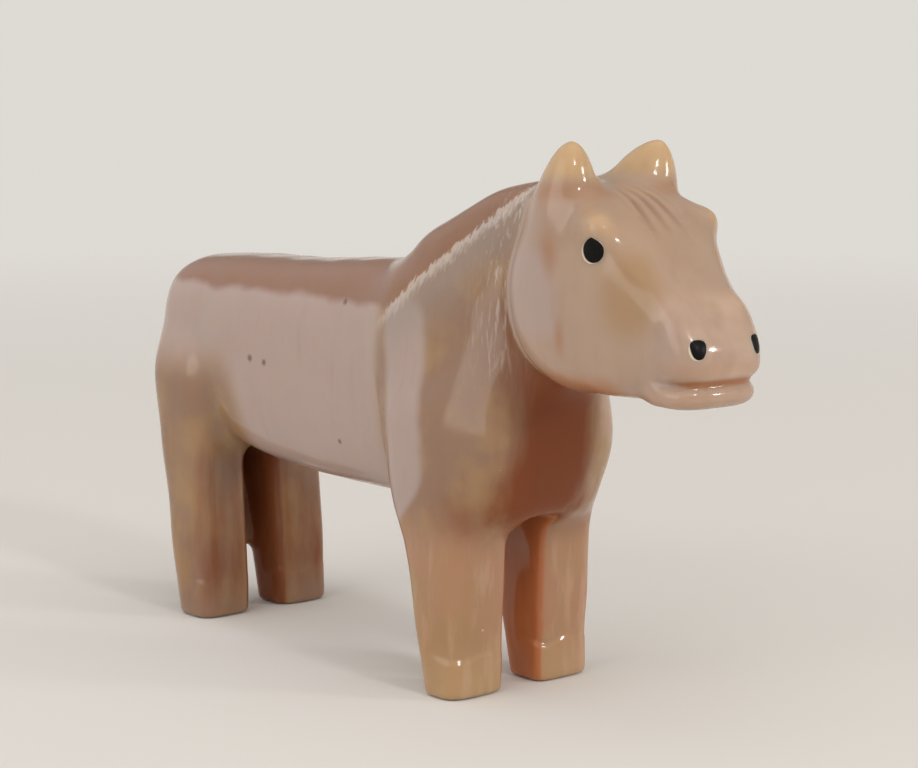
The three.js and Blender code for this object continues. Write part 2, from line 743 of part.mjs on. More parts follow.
const tallest = Math.max(EAR_TIP_HEIGHT, POLL_TOP, CREST_TOP, GIRTH_TOP) + GRID_MARGIN;
const legSpans = [FRONT_LEG, HIND_LEG].map((size) => size.track + size.kneeWidth);
const widest = Math.max(SHOULDER_WIDTH, CROUP_WIDTH, TEMPLE_WIDTH, ...legSpans) / 2;
const quartersFront = HIND_X + HIND_LEG.thighLength / 2;
const chestBack = CHEST_X - SHOULDER_LENGTH / 2;
const gridX = [
  ...lines(RUMP_X - TAIL_THICKNESS, quartersFront, QUARTERS_CELLS),
  ...lines(quartersFront, chestBack, BARREL_CELLS).slice(1),
  ...lines(chestBack, NAPE_X, CHEST_CELLS).slice(1),
  ...lines(NAPE_X, MUZZLE_X + GRID_MARGIN, HEAD_CELLS).slice(1),
];
const gridY = lines(-widest - GRID_MARGIN, widest + GRID_MARGIN, CROSS_CELLS);
const gridZ = [
  ...lines(-SOLE_TRIM - GRID_MARGIN, BRISKET_HEIGHT, LEG_CELLS),
  ...lines(BRISKET_HEIGHT, tallest, HEIGHT_CELLS).slice(1),
];
const rough = toSolid(facetStone(gridX, gridY, gridZ));

const ground = new THREE.BoxGeometry(3 * LEG_SPACING, LEG_SPACING, LEG_SPACING);
ground.translate(0, 0, -LEG_SPACING / 2);

const cutFront = FRONT_X + SHOULDER_LENGTH;
const cutBack = FRONT_X - SAW_CUT_DEPTH;
const sawCut = new THREE.BoxGeometry(cutFront - cutBack, SAW_CUT_WIDTH, 2 * SAW_CUT_TOP);
sawCut.translate((cutFront + cutBack) / 2, 0, 0);

let body = rough.subtract(toSolid(ground)).subtract(toSolid(sawCut)).subtract(mouthCutter());
sockets.forEach((socket) => {
  body = body.subtract(toSolid(socket));
});
const bodyGeometry = toGeometry(body);
carving.add(namedMesh("stone_body", bodyGeometry, STONE));

bodyGeometry.computeBoundingBox();
carving.position.x = -(bodyGeometry.boundingBox.min.x + bodyGeometry.boundingBox.max.x) / 2;

const horse = new THREE.Group();
horse.name = "horse_fetish";
horse.add(carving);

export default horse;
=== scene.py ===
import math
from types import SimpleNamespace

import bpy
import numpy as np
from bpy.props import FloatProperty, FloatVectorProperty, PointerProperty
from bpy.types import Operator, Panel, PropertyGroup
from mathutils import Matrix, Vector


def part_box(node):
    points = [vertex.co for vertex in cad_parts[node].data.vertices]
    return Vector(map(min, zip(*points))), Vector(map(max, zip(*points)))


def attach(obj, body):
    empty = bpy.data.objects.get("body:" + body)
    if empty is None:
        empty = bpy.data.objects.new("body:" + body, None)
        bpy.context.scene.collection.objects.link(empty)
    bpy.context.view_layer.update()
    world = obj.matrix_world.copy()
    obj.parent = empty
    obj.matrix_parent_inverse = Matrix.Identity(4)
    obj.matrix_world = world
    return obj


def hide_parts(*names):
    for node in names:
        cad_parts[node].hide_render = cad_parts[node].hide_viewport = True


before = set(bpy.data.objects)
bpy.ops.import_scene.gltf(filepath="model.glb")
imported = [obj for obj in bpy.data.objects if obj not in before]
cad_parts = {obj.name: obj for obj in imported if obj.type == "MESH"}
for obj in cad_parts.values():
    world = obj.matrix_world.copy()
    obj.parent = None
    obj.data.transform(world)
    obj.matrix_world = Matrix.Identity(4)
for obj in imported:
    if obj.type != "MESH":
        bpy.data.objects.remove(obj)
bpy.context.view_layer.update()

bl_info = {
    "name": "Carved stone horse",
    "version": (1, 0, 0),
    "blender": (4, 5, 0),
    "location": "View3D > Sidebar > Stone horse",
    "description": "Builds a small polished stone horse with inlaid eyes and nostrils, and a stage for it",
    "category": "Add Mesh",
}

MM = 0.001

# Places along the carving, in millimetres.
# X = 0 is midway between the front and hind legs, the horse looks along +X, and Z = 0 is the ground.
FRONT_X = 18.6
HIND_X = -FRONT_X
RUMP_X = HIND_X - 7.7
CHEST_X = FRONT_X - 0.7
MUZZLE_X = FRONT_X + 25.5
SHIFT_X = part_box("stone_body")[1].x / MM - MUZZLE_X

# Columns: place along X, top, bottom, width
BARREL = np.array([
    (RUMP_X, 33.6, 17.2, 12.8),
    (HIND_X, 34.2, 16.6, 13.2),
    (HIND_X / 2, 34.4, 15.4, 12.6),
    (FRONT_X / 2, 35.4, 14.9, 12.0),
    (FRONT_X, 35.4, 14.9, 12.0),
])
NECK = np.array([
    (FRONT_X - 15.0, 31.0, 24.0, 8.4),
    (FRONT_X - 6.94, 37.7, 24.0, 9.8),
    (FRONT_X + 1.12, 41.9, 24.0, 9.2),
    (FRONT_X + 11.0, 43.0, 27.1, 8.0),
])
SKULL = np.array([
    (MUZZLE_X - 20.0, 42.6, 30.0, 8.8),
    (MUZZLE_X - 14.4, 43.0, 27.1, 11.4),
    (MUZZLE_X - 9.4, 41.5, 26.6, 12.8),
    (MUZZLE_X - 7.0, 39.6, 26.6, 11.7),
    (MUZZLE_X - 4.5, 37.0, 26.6, 9.6),
    (MUZZLE_X, 32.7, 26.6, 9.5),
])

# Columns: place along X, squareness of the skull
SKULL_SQUARE = np.array([(MUZZLE_X - 8.6, 5.2), (MUZZLE_X - 3.4, 2.9)])
MUZZLE_BOW = 24.0

# Columns: height, centre along X, centre along Y, length, width
CHEST = np.array([
    (14.2, CHEST_X - 0.5, 0.0, 12.4, 14.8),
    (21.0, CHEST_X, 0.0, 16.0, 16.5),
    (31.0, CHEST_X - 1.1, 0.0, 15.8, 12.8),
    (36.5, CHEST_X + 0.6, 0.0, 13.2, 9.6),
])
LIP = np.array([
    (26.35, MUZZLE_X - 3.3, 0.0, 5.8, 9.0),
    (28.1, MUZZLE_X - 3.3, 0.0, 5.8, 9.0),
])
FRONT_LEG = np.array([
    (-1.2, FRONT_X, 4.7, 4.7, 6.4),
    (3.3, FRONT_X, 4.7, 4.7, 6.4),
    (9.0, FRONT_X - 0.6, 4.7, 6.4, 6.9),
    (18.0, FRONT_X - 1.8, 4.5, 9.8, 7.3),
    (26.0, FRONT_X - 1.8, 4.5, 9.8, 7.3),
])
HIND_LEG = np.array([
    (-1.2, HIND_X, 4.5, 5.2, 5.9),
    (3.3, HIND_X, 4.5, 5.2, 5.9),
    (9.0, HIND_X - 0.8, 4.5, 6.1, 6.1),
    (18.0, HIND_X - 2.2, 4.3, 7.8, 6.2),
    (26.0, HIND_X - 2.2, 4.3, 7.8, 6.2),
])
TAIL = np.array([
    (6.0, RUMP_X + 4.4, 0.0, 3.7, 6.2),
    (19.0, RUMP_X + 1.2, 0.0, 3.7, 4.55),
    (26.8, RUMP_X + 1.2, 0.0, 3.7, 3.56),
    (32.0, RUMP_X + 3.3, 0.0, 3.7, 2.9),
])
EAR_ROOT = np.array((MUZZLE_X - 14.5, 3.7, 40.0))
EAR_TIP = np.array((MUZZLE_X - 12.5, 4.75, 46.0))
EAR_HALF_WIDTH = 2.7
EAR_FLARE = 1.2
EAR_BROAD_WAY = np.array((math.cos(math.radians(50)), math.sin(math.radians(50)), 0.0))
JOWL_CENTRE = (MUZZLE_X - 13.5, 34.1)
JOWL_HALVES = (7.0, 7.2)
JOWL_HALF_WIDTH = 6.3
BROW_CENTRE = (MUZZLE_X - 7.8, 6.5, 40.3)
BROW_SWELL = 1.2
BROW_RADIUS = 1.8

# The mouth: its height, its corner, and where it has its full depth
MOUTH_HEIGHT = 28.2
MOUTH_CORNER = MUZZLE_X - 4.2
MOUTH_FULL = MUZZLE_X - 1.8

# The saw cut that parts the front legs: half its width, its top, where it starts along X
CUT_HALF_WIDTH = 1.75
CUT_TOP = 15.0
CUT_BACK = FRONT_X - 8

# The rim over the front of a hoof: its height, how far that wavers, the height of its slope, where over the
# rim the cut fades out, and the share of its depth that the hind hooves have
RIM_HEIGHT = 3.2
RIM_WAVER = 0.22
RIM_SLOPE = 0.45
RIM_FADE = (0.5, 5.0)
HIND_RIM = 0.4

# The fuller back of a leg: the height of its middle and half its height
HEEL_HEIGHT = 5.0
HEEL_HALF = 3.6

# The grid that the stone's surface is laid on: where its lines start, change their spacing and end
GRID_X = (RUMP_X - 1.7, MUZZLE_X - 20.1, MUZZLE_X + 1.2)
GRID_Y = (0.0, 9.6)
GRID_Z = (-0.7, 2.7, 4.1, 26.0, 47.4)

# Where the inlays sit: a start inside the stone, and the way out to the left
EYE_START = np.array((MUZZLE_X - 8.4, 0.0, 38.0))
EYE_WAY = np.array((0.0, 1.0, 0.0))
NOSTRIL_START = np.array((MUZZLE_X - 7.1, 0.0, 31.0))
NOSTRIL_WAY = np.array((math.cos(math.radians(25)), math.sin(math.radians(25)), 0.0))

# Inclusions in the stone: place and radius
DARK_SPECKS = (
    ((-9.6, -6.3, 25.5), 0.42),
    ((-7.5, -6.2, 25.3), 0.4),
    ((3.5, -5.4, 31.6), 0.38),
    ((2.9, -5.6, 19.3), 0.3),
    ((12.9, -6.3, 33.3), 0.16),
)
WHITE_FLECKS = (
    ((19.4, -7.9, 9.6), 0.1),
    ((21.0, -4.6, 5.7), 0.12),
    ((20.2, -7.5, 1.6), 0.1),
    ((24.7, -6.0, 19.7), 0.09),
    ((25.5, 1.4, 19.0), 0.09),
)

# The line along the crest of the neck where the painted sheen on its side ends and a painted brown reflection
# begins above it: its height at the withers and its climb along X
SHEEN_EDGE_X = 11.7
SHEEN_EDGE_HEIGHT = 32.4
SHEEN_EDGE_CLIMB = 0.76

# The stage, in metres: the floor's first ring and flat radius, the bend to its wall, the lamps' aim
FLOOR_MIDDLE = 0.02
FLOOR_RADIUS = 1.6
WALL_BEND = 0.5
LAMP_AIM_HEIGHT = 0.025


def linear(code):
    """sRGB hex to linear RGBA: each channel over 12.92 when small, else ((c + 0.055) / 1.055) to the 2.4."""
    srgb = np.array([int(code[i:i + 2], 16) / 255 for i in (1, 3, 5)])
    rgb = np.where(srgb <= 0.04045, srgb / 12.92, ((srgb + 0.055) / 1.055) ** 2.4)
    return (*(float(c) for c in rgb), 1.0)


def colour(name, description, code):
    """A colour property whose default is an sRGB hex value turned to linear."""
    return FloatVectorProperty(
        name=name, description=description, subtype="COLOR", size=4, min=0, max=1, default=linear(code)
    )


def length(name, description, millimetres):
    """A length property whose default is given in millimetres."""
    return FloatProperty(
        name=name, description=description, unit="LENGTH", precision=5, min=0, default=millimetres * MM
    )


def power(name, description, watts):
    """A lamp's power, in watts."""
    return FloatProperty(name=name, description=description, unit="POWER", min=0, default=watts)


def strength(name, description, value):
    """The strength of a glow, where a strength of 1 is white."""
    return FloatProperty(name=name, description=description, min=0, default=value)


def angle(name, description, degrees):
    """An angle property whose default is given in degrees."""
    return FloatProperty(name=name, description=description, subtype="ANGLE", default=math.radians(degrees))


class StoneSettings(PropertyGroup):
    """Sizes and colours of the stone."""

    body_facet: length("Body facet", "Edge of a facet on the body and legs", 0.33)
    head_facet: length("Head facet", "Edge of a facet on the head", 0.25)
    hoof_ledge: length("Hoof ledge", "How far the front of a hoof stands out from the leg", 0.25)
    heel_fill: length("Heel fill", "How far the back of a leg is filled out above the hoof", 0.4)
    sole_edge: length("Sole edge", "Rounding of the edge of the soles", 0.7)
    mouth_depth: length("Mouth depth", "Depth of the hollow between the lips", 0.4)
    snub: length("Snub nose", "How far the top of the nose leans back", 0.35)
    forelock_depth: length("Forelock depth", "Depth of the grooves on the forehead", 0.09)
    flank_depth: length("Flank depth", "Depth of the valley between flank and thigh", 0.3)
    hand_waves: length("Hand waves", "Height of the slight waves left by hand sanding", 0.05)
    beige: colour("Beige head", "Warm beige of the head", "#AE9279")
    # Partly the paler stone of the grain and the left of the chest, partly painted light that lifts the
    # muzzle out of its shade
    fair_and_painted_light: colour("Fair muzzle", "Paler beige of the muzzle, the left of the chest and the grain", "#CAAC93")
    # Painted sheen: a reflection of the side light painted pinkish grey over the flanks, cheeks and shoulder
    painted_sheen: colour("Milky bloom", "Pinkish grey of the flanks and cheeks", "#AE9A93")
    hazel: colour("Hazel forehand", "Brown of the neck, the chest and the quarters", "#90725D")
    tan: colour("Tan legs", "Orange tan of the front legs", "#AA8163")
    honey: colour("Honey clouds", "Tan of the clouds in the stone", "#A3835C")
    # Brown of the forelock's grooves; on the back and above the crest line it is a painted reflection of a
    # brown surround
    umber_and_painted_reflection: colour("Brown top", "Brown of the back, the crest and the forelock", "#8B634A")
    # Painted glow: yellow tan painted where light would shine through thin stone, on the ears, the hooves and
    # the brow
    thin: colour("Thin stone", "Yellow tan where the stone is thin", "#BEA27B")
    # Painted shade: red brown painted in the hollows, on the chest under the head, in the fold at its foot,
    # at the tops of the legs and on the hind legs under the belly
    painted_shade: colour("Deep stone", "Red brown of the chest and the hollows", "#7E4527")
    # Painted glow: orange painted on the inner faces of the front legs, which face each other in shade
    painted_inner_glow: colour("Glowing stone", "Orange that shines through between the legs", "#B26C42")
    # Partly the stone's orange at the feet of the ears and round the eyes, partly painted shade in the mouth,
    # above the lip, under the jaw and inside the front legs
    amber_and_painted_shade: colour("Amber edges", "Orange brown of the lips, the jaw and round the eyes", "#A0622F")
    # Painted reflection: grey painted on the side of the neck below the crest line
    painted_neck_sheen: colour("Pearly vein", "Grey vein along the neck", "#988A80")
    # Milky streaks near the head, and the painted white edge of the neck's reflection along the crest line
    milk_streaks_and_sheen_edge: colour("Milky line", "White edge of the vein along the crest", "#D6CBC2")
    speck: colour("Dark specks", "Dark inclusions", "#5E4A3C")
    fleck: colour("White flecks", "Pale inclusions", "#F0E2CC")


class InlaySettings(PropertyGroup):
    """Sizes and colours of the eyes, the nostrils and their glue."""

    eye_width: length("Eye width", "Width of an eye", 1.82)
    eye_tall: length("Eye height", "Height of an eye", 2.0)
    eye_depth: length("Eye depth", "Length of an eye's peg", 2.2)
    nostril_width: length("Nostril width", "Width of a nostril", 1.55)
    nostril_tall: length("Nostril height", "Height of a nostril", 1.5)
    nostril_depth: length("Nostril depth", "Length of a nostril's peg", 1.6)
    dome: length("Dome", "How far an inlay's face bulges", 0.08)
    clearance: length("Clearance", "Gap round a peg, filled with glue", 0.1)
    bed: length("Glue bed", "Thickness of the glue under a peg", 0.3)
    jet: colour("Jet", "Black of the inlays", "#080706")
    worn_jet: colour("Worn jet", "Grey of the finest scratches", "#191615")
    glue: colour("Glue", "Cured adhesive", "#C6B09C")
    milky_glue: colour("Milky glue", "Cloudy blotches in the adhesive", "#DCCBB4")


class StageSettings(PropertyGroup):
    """Floor, light and camera."""

    floor: colour("Floor", "Colour of the floor", "#E2E0DC")
    floor_mottle: colour("Floor mottle", "Colour of the floor's faint mottle", "#CFC9C0")
    backdrop: colour("Backdrop", "Colour behind the floor", "#DEDAD4")
    sky_tint: colour("Sky tint", "Tint of the light from all round", "#FFF8F0")
    window_tint: colour("Window tint", "Tint of the light from the side", "#F2F6FF")
    overhead_tint: colour("Overhead tint", "Tint of the light from above the head", "#FFF7EE")
    sky: strength("Sky", "Strength of the light from all round", 0.35)
    side: strength("Side", "Strength of the glow behind the right shoulder", 0.5)
    overhead: strength("Overhead", "Strength of the glow above the head", 0.7)
    window: power("Window", "Power of the window on the right", 1.0)
    lamp: power("Lamps", "Power of each of the small front lamps", 0.42)
    azimuth: angle("Azimuth", "Camera's way round from the right side", 50)
    elevation: angle("Elevation", "Camera's tilt", 7.85)
    place: FloatVectorProperty(
        name="Place",
        description="Where the camera stands",
        subtype="TRANSLATION",
        default=((161.4 + SHIFT_X) * MM, -125.0 * MM, 51.7 * MM),
    )
    lens: FloatProperty(name="Lens", description="Focal length in millimetres", default=90.2)


def rises(value, start, end):
    """Smooth step: 3 t squared minus 2 t cubed, where t goes from 0 at the start to 1 at the end."""
    t = np.clip((value - start) / (end - start), 0, 1)
    return t * t * (3 - 2 * t)


def falls(value, start, end):
    """One less the smooth step from the start to the end."""
    return 1 - rises(value, start, end)


def bell(value, centre, width):
    """One over e to the square of the way from the centre, counted in widths."""
    return np.exp(-((value - centre) / width) ** 2)


def blend(a, b, fillet):
    """Smaller of two distances, less a quarter of the fillet times the square of how nearly they agree."""
    near = np.maximum(fillet - np.abs(a - b), 0) / fillet
    return np.minimum(a, b) - near * near * fillet / 4


def trim(a, b, rounding):
    """Larger of two distances with a rounded edge: blend with its signs turned."""
    return -blend(-a, -b, rounding)


def curve(places, values, at):
    """Cubic through points, its slope at each the mean of the two sides weighted by the other side's span."""
    step = np.diff(places)
    slope = np.diff(values) / step
    inner = (slope[:-1] * step[1:] + slope[1:] * step[:-1]) / (step[1:] + step[:-1])
    tangent = np.concatenate((slope[:1], inner, slope[-1:]))
    i = np.clip(np.searchsorted(places, at) - 1, 0, len(step) - 1)
    t = np.clip((at - places[i]) / step[i], 0, 1)
    rise = values[i + 1] - values[i]
    start = tangent[i] * step[i]
    end = tangent[i + 1] * step[i]
    return values[i] + t * (start + t * (3 * rise - 2 * start - end + t * (start + end - 2 * rise)))


def section_distance(u, v, half_u, half_v, square):
    """Superellipse norm less one, over the length of its slope."""
    a = np.abs(u) / half_u
    b = np.abs(v) / half_v
    q = np.maximum((a ** square + b ** square) ** (1 / square), 1e-6)
    slope_u = (a / q) ** (square - 1) / half_u
    slope_v = (b / q) ** (square - 1) / half_v
    return (q - 1) / np.hypot(slope_u, slope_v)


def mass_along_x(sections, x, y, z, square, back, front, reach=None):
    """Superellipses across X through the listed sections, trimmed with a rounding at the back and the front.
    The front is where the reach, which is X unless another is given, gets to the last place."""
    places, tops, bottoms, widths = sections.T
    low = curve(places, bottoms, x)
    half_tall = (curve(places, tops, x) - low) / 2
    inside = section_distance(y, z - low - half_tall, curve(places, widths, x) / 2, half_tall, square)
    ahead = (x if reach is None else reach) - places[-1]
    return trim(trim(inside, places[0] - x, back), ahead, front)


def mass_along_z(sections, x, y, z, square, low, high):
    """Superellipses stacked along Z through the listed sections, trimmed with a rounding at both ends."""
    places, centres_x, centres_y, lengths, widths = sections.T
    u = x - curve(places, centres_x, z)
    v = y - curve(places, centres_y, z)
    inside = section_distance(u, v, curve(places, lengths, z) / 2, curve(places, widths, z) / 2, square)
    return trim(trim(inside, places[0] - z, low), z - places[-1], high)


def unit(vectors):
    """Vectors over their lengths."""
    return vectors / np.maximum(np.linalg.norm(vectors, axis=-1, keepdims=True), 1e-9)


def ear_distance(x, y, z):
    """Superellipse about the line from root to tip, stretched by the flare along the ear's broad way."""
    axis = EAR_TIP - EAR_ROOT
    ear_length = np.linalg.norm(axis)
    axis = axis / ear_length
    broad_way = unit(EAR_BROAD_WAY - axis * (EAR_BROAD_WAY @ axis))
    offset = [p - c for p, c in zip((x, y, z), EAR_ROOT)]
    along = sum(o * a for o, a in zip(offset, axis))
    broad = sum(o * a for o, a in zip(offset, broad_way))
    narrow = np.sqrt(np.maximum(sum(o * o for o in offset) - along * along - broad * broad, 0))
    across = np.hypot(broad / EAR_FLARE, narrow)
    return section_distance(along, across, ear_length, EAR_HALF_WIDTH, square=1.7)


def head_distance(x, y, z):
    """Skull, jowls, ear and lip blended together, less a bell-shaped swell over the eye."""
    bowed = x + y * y / (2 * MUZZLE_BOW)
    skull = mass_along_x(SKULL, x, y, z, curve(*SKULL_SQUARE.T, x), back=4, front=2.4, reach=bowed)
    share = np.hypot((x - JOWL_CENTRE[0]) / JOWL_HALVES[0], (z - JOWL_CENTRE[1]) / JOWL_HALVES[1])
    radius = sum(JOWL_HALVES) / 2
    jowls = section_distance(share * radius, y, radius, JOWL_HALF_WIDTH, square=3.4)
    far = sum((p - c) ** 2 for p, c in zip((x, y, z), BROW_CENTRE))
    browed = blend(skull, jowls, fillet=1.6) - BROW_SWELL * np.exp(-far / BROW_RADIUS ** 2)
    lip = mass_along_z(LIP, x, y, z, square=2.8, low=1.2, high=0.6)
    return blend(blend(browed, ear_distance(x, y, z), fillet=1.2), lip, fillet=0.8)


def stone_distance(x, y, z):
    """The carving's masses blended with fillets, the same on both sides of Y = 0. Negative inside."""
    y = np.abs(y)
    chest = mass_along_z(CHEST, x, y, z, square=3.3, low=2.5, high=4)
    neck = mass_along_x(NECK, x, y, z, square=3, back=1.2, front=1.2)
    front_leg = mass_along_z(FRONT_LEG, x, y, z, square=3.4, low=1.2, high=4)
    forehand = blend(blend(chest, neck, fillet=4), front_leg, fillet=2)
    barrel = mass_along_x(BARREL, x, y, z, square=2.8, back=4.4, front=4)
    hind_leg = mass_along_z(HIND_LEG, x, y, z, square=3.4, low=1.2, high=4)
    quarters = blend(barrel, hind_leg, fillet=2.5)
    tail = mass_along_z(TAIL, x, y, z, square=2.2, low=1.2, high=4)
    trunk = blend(blend(quarters, forehand, fillet=2.2), tail, fillet=1)
    whole = blend(trunk, head_distance(x, y, z), fillet=0.7)
    cut = trim(trim(y - CUT_HALF_WIDTH, z - CUT_TOP, rounding=0.8), CUT_BACK - x, rounding=0.8)
    return trim(whole, -cut, rounding=0.5)


def mouth_share(x, z):
    """Bell across the line of the mouth, growing from nothing at its corner to one near the tip."""
    return bell(z, MOUTH_HEIGHT, 0.62) * rises(x, MOUTH_CORNER, MOUTH_FULL)


def forelock_share(x, y, z):
    """Cosine waves across the forehead that spread forwards, under a bell along X."""
    from_tip = x - MUZZLE_X
    spacing = 1.1 + 0.1 * (from_tip + 11.2)
    strands = 0.5 + 0.5 * np.cos(2 * np.pi * y / spacing)
    return strands * bell(from_tip, -9.1, 2.6) * rises(z, 37.5, 39.5) * falls(np.abs(y), 1.8, 3)


def hoof_cut(stone, x, y, z):
    """Millimetres cut over the front of each hoof: a slope above the wavering rim that fades out up the leg
    and whose depth sways round it. At the back of the leg a bell of stone is added instead."""
    front = rises(x - np.where(x > 0, FRONT_X, HIND_X), -1.2, 1.2)
    over_rim = z - RIM_HEIGHT - RIM_WAVER * np.sin(1.9 * x + 1.3 * np.abs(y))
    depth = np.where(x > 0, 1, HIND_RIM) * (0.6 + 0.4 * np.sin(0.98 - 0.5 * x - 0.668 * y))
    ledge = front * depth * np.clip(over_rim / RIM_SLOPE, 0, 1) * falls(over_rim, *RIM_FADE)
    heel = (1 - front) * bell(z, HEEL_HEIGHT, HEEL_HALF) * rises(z, 0, 2)
    return (stone.hoof_ledge * ledge - stone.heel_fill * heel) / MM


def worked_distance(stone, x, y, z):
    """The stone with its hand work: hooves, mouth, snub nose, slight waves, grooved forelock, a valley before
    each thigh and ground soles. Each takes its depth times a share off the stone."""
    snub = rises(x, MUZZLE_X - 2.4, MUZZLE_X - 0.4) * rises(z, 29.8, 33.3)
    waves = np.sin(0.83 * x + 0.5 * z) * np.sin(0.61 * y - 0.37 * x + 1) * np.sin(0.52 * z + 0.29 * y + 2)
    thigh_edge = 3 * ((31 - z) / 14) ** 2 - 18
    valley = bell(x, thigh_edge, 1.6) * rises(z, 15, 19) * falls(z, 29, 33)
    cut = (
        stone.mouth_depth * mouth_share(x, z)
        + stone.snub * snub
        + stone.hand_waves * waves
        + stone.forelock_depth * forelock_share(x, y, z)
        + stone.flank_depth * valley
    )
    worked = stone_distance(x, y, z) + cut / MM + hoof_cut(stone, x, y, z)
    return trim(worked, -z, rounding=stone.sole_edge / MM)


def slope_of(distance, points, reach=0.01):
    """Central differences of a distance over twice the reach, along X, Y and Z."""
    steps = reach * np.eye(3)
    ahead = [distance(*(points + step).T) for step in steps]
    behind = [distance(*(points - step).T) for step in steps]
    return (np.array(ahead) - np.array(behind)).T / (2 * reach)


def surface_net(distance, axes):
    """One point in each grid cell that the surface crosses, at the mean of its crossings and then moved
    down the slope onto the surface, and one four-sided face round each grid edge that is crossed."""
    grid = np.meshgrid(*axes, indexing="ij", sparse=True)
    values = distance(*grid)
    inside = values < 0
    spans = np.array((values.shape[1] * values.shape[2], values.shape[2], 1))
    cells = []
    crossings = []
    for axis, line in enumerate(axes):
        u = spans[(axis + 1) % 3]
        v = spans[(axis + 2) % 3]
        step = np.eye(3, dtype=int)[axis]
        low = np.take(inside, range(len(line) - 1), axis)
        high = np.take(inside, range(1, len(line)), axis)
        start = np.argwhere(low != high)
        near = values[tuple(start.T)]
        far = values[tuple((start + step).T)]
        point = np.stack([places[i] for places, i in zip(axes, start.T)], 1)
        point[:, axis] += near / (near - far) * np.diff(line)[start[:, axis]]
        first = start @ spans
        ring = np.stack((first - u - v, first - v, first, first - u), 1)
        ring[near > 0] = ring[near > 0][:, ::-1]
        cells.append(ring)
        crossings.append(point)
    corner = np.unique(np.concatenate(cells), return_inverse=True)[1].reshape(-1)
    shared = np.repeat(np.concatenate(crossings), 4, 0)
    points = np.stack([np.bincount(corner, column) for column in shared.T], 1)
    points /= np.bincount(corner)[:, None]
    for _ in range(3):
        slope = slope_of(distance, points)
        steep = np.maximum((slope ** 2).sum(1), 0.05)
        points -= slope * (distance(*points.T) / steep)[:, None]
    return points, corner.reshape(-1, 4)


def grid_lines(stops, facets):
    """Even lines between each pair of stops, about one facet apart."""
    counts = [max(int(round((b - a) / f)), 1) for a, b, f in zip(stops, stops[1:], facets)]
    parts = [np.linspace(a, b, n, endpoint=False) for a, b, n in zip(stops, stops[1:], counts)]
    return np.concatenate((*parts, stops[-1:]))


def smooth_mesh(name, points, faces, finish):
    """A smooth mesh of points in metres, linked to the scene."""
    mesh = bpy.data.meshes.new(name)
    mesh.from_pydata(points, [], faces)
    mesh.shade_smooth()
    mesh.materials.append(finish)
    piece = bpy.data.objects.new(name, mesh)
    bpy.context.scene.collection.objects.link(piece)
    if mesh.validate():
        raise RuntimeError(name + " had faces that are not valid")
    return piece


def put_mesh(name, points, faces, finish, stands_for):
    """A smooth mesh of points in carving millimetres, placed in the frame and riding on the body."""
    piece = smooth_mesh(name, (points + (SHIFT_X, 0, 0)) * MM, faces, finish)
    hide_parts(stands_for)
    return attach(piece, "root")


def head_areas(x, y, z, on_head):
    """Shares of the places on the head that take their own colour, painted sheen, painted glow, painted light
    and painted shade, from their heights and how far they lie from the tip of the muzzle and from the middle."""
    from_tip = x - MUZZLE_X
    from_middle = np.abs(y)
    mouth = rises(x, MOUTH_CORNER, MOUTH_FULL)
    return SimpleNamespace(
        # The cheek, where the head's painted sheen is strongest
        cheek=on_head * falls(from_tip, -15.1, -7.1) * rises(z, 28, 32) * falls(z, 36, 41),
        # The ears and the brow take a painted glow of light shining through thin stone
        ears=rises(z, 42.2, 44.6),
        ear_feet=on_head * bell(z, 42.3, 1.1) * rises(from_middle, 1.5, 3),
        brow=bell(x, BROW_CENTRE[0], 2.2) * bell(z, BROW_CENTRE[2], 2.2) * rises(from_middle, 4, 6),
        behind_eye=on_head * bell(from_tip, -13.1, 1.4) * bell(z, 37.5, 2.6),
        below_eye=on_head * bell(from_tip, -11.9, 0.9) * bell(z, 31.2, 2.2),
        before_eye=on_head * bell(from_tip, -5.6, 2.2) * bell(z, 34.8, 3.4) * rises(from_middle, 2.5, 4.5),
        # The muzzle, where painted light lifts the stone out of its shade
        muzzle=rises(from_tip, -6.5, -2.5) * rises(z, 27.6, 29) * falls(z, 33, 36),
        # Above the lip, in the mouth and under the jaw lies painted shade
        above_lip=on_head * rises(from_tip, -5, -2.6) * bell(z, 29.4, 0.9),
        lips=mouth * bell(z, MOUTH_HEIGHT + 0.1, 0.38) * falls(from_middle, 3, 5),
        jaw=on_head * falls(from_tip, -8.1, -5.1) * falls(z, 27.2, 29.7),
    )


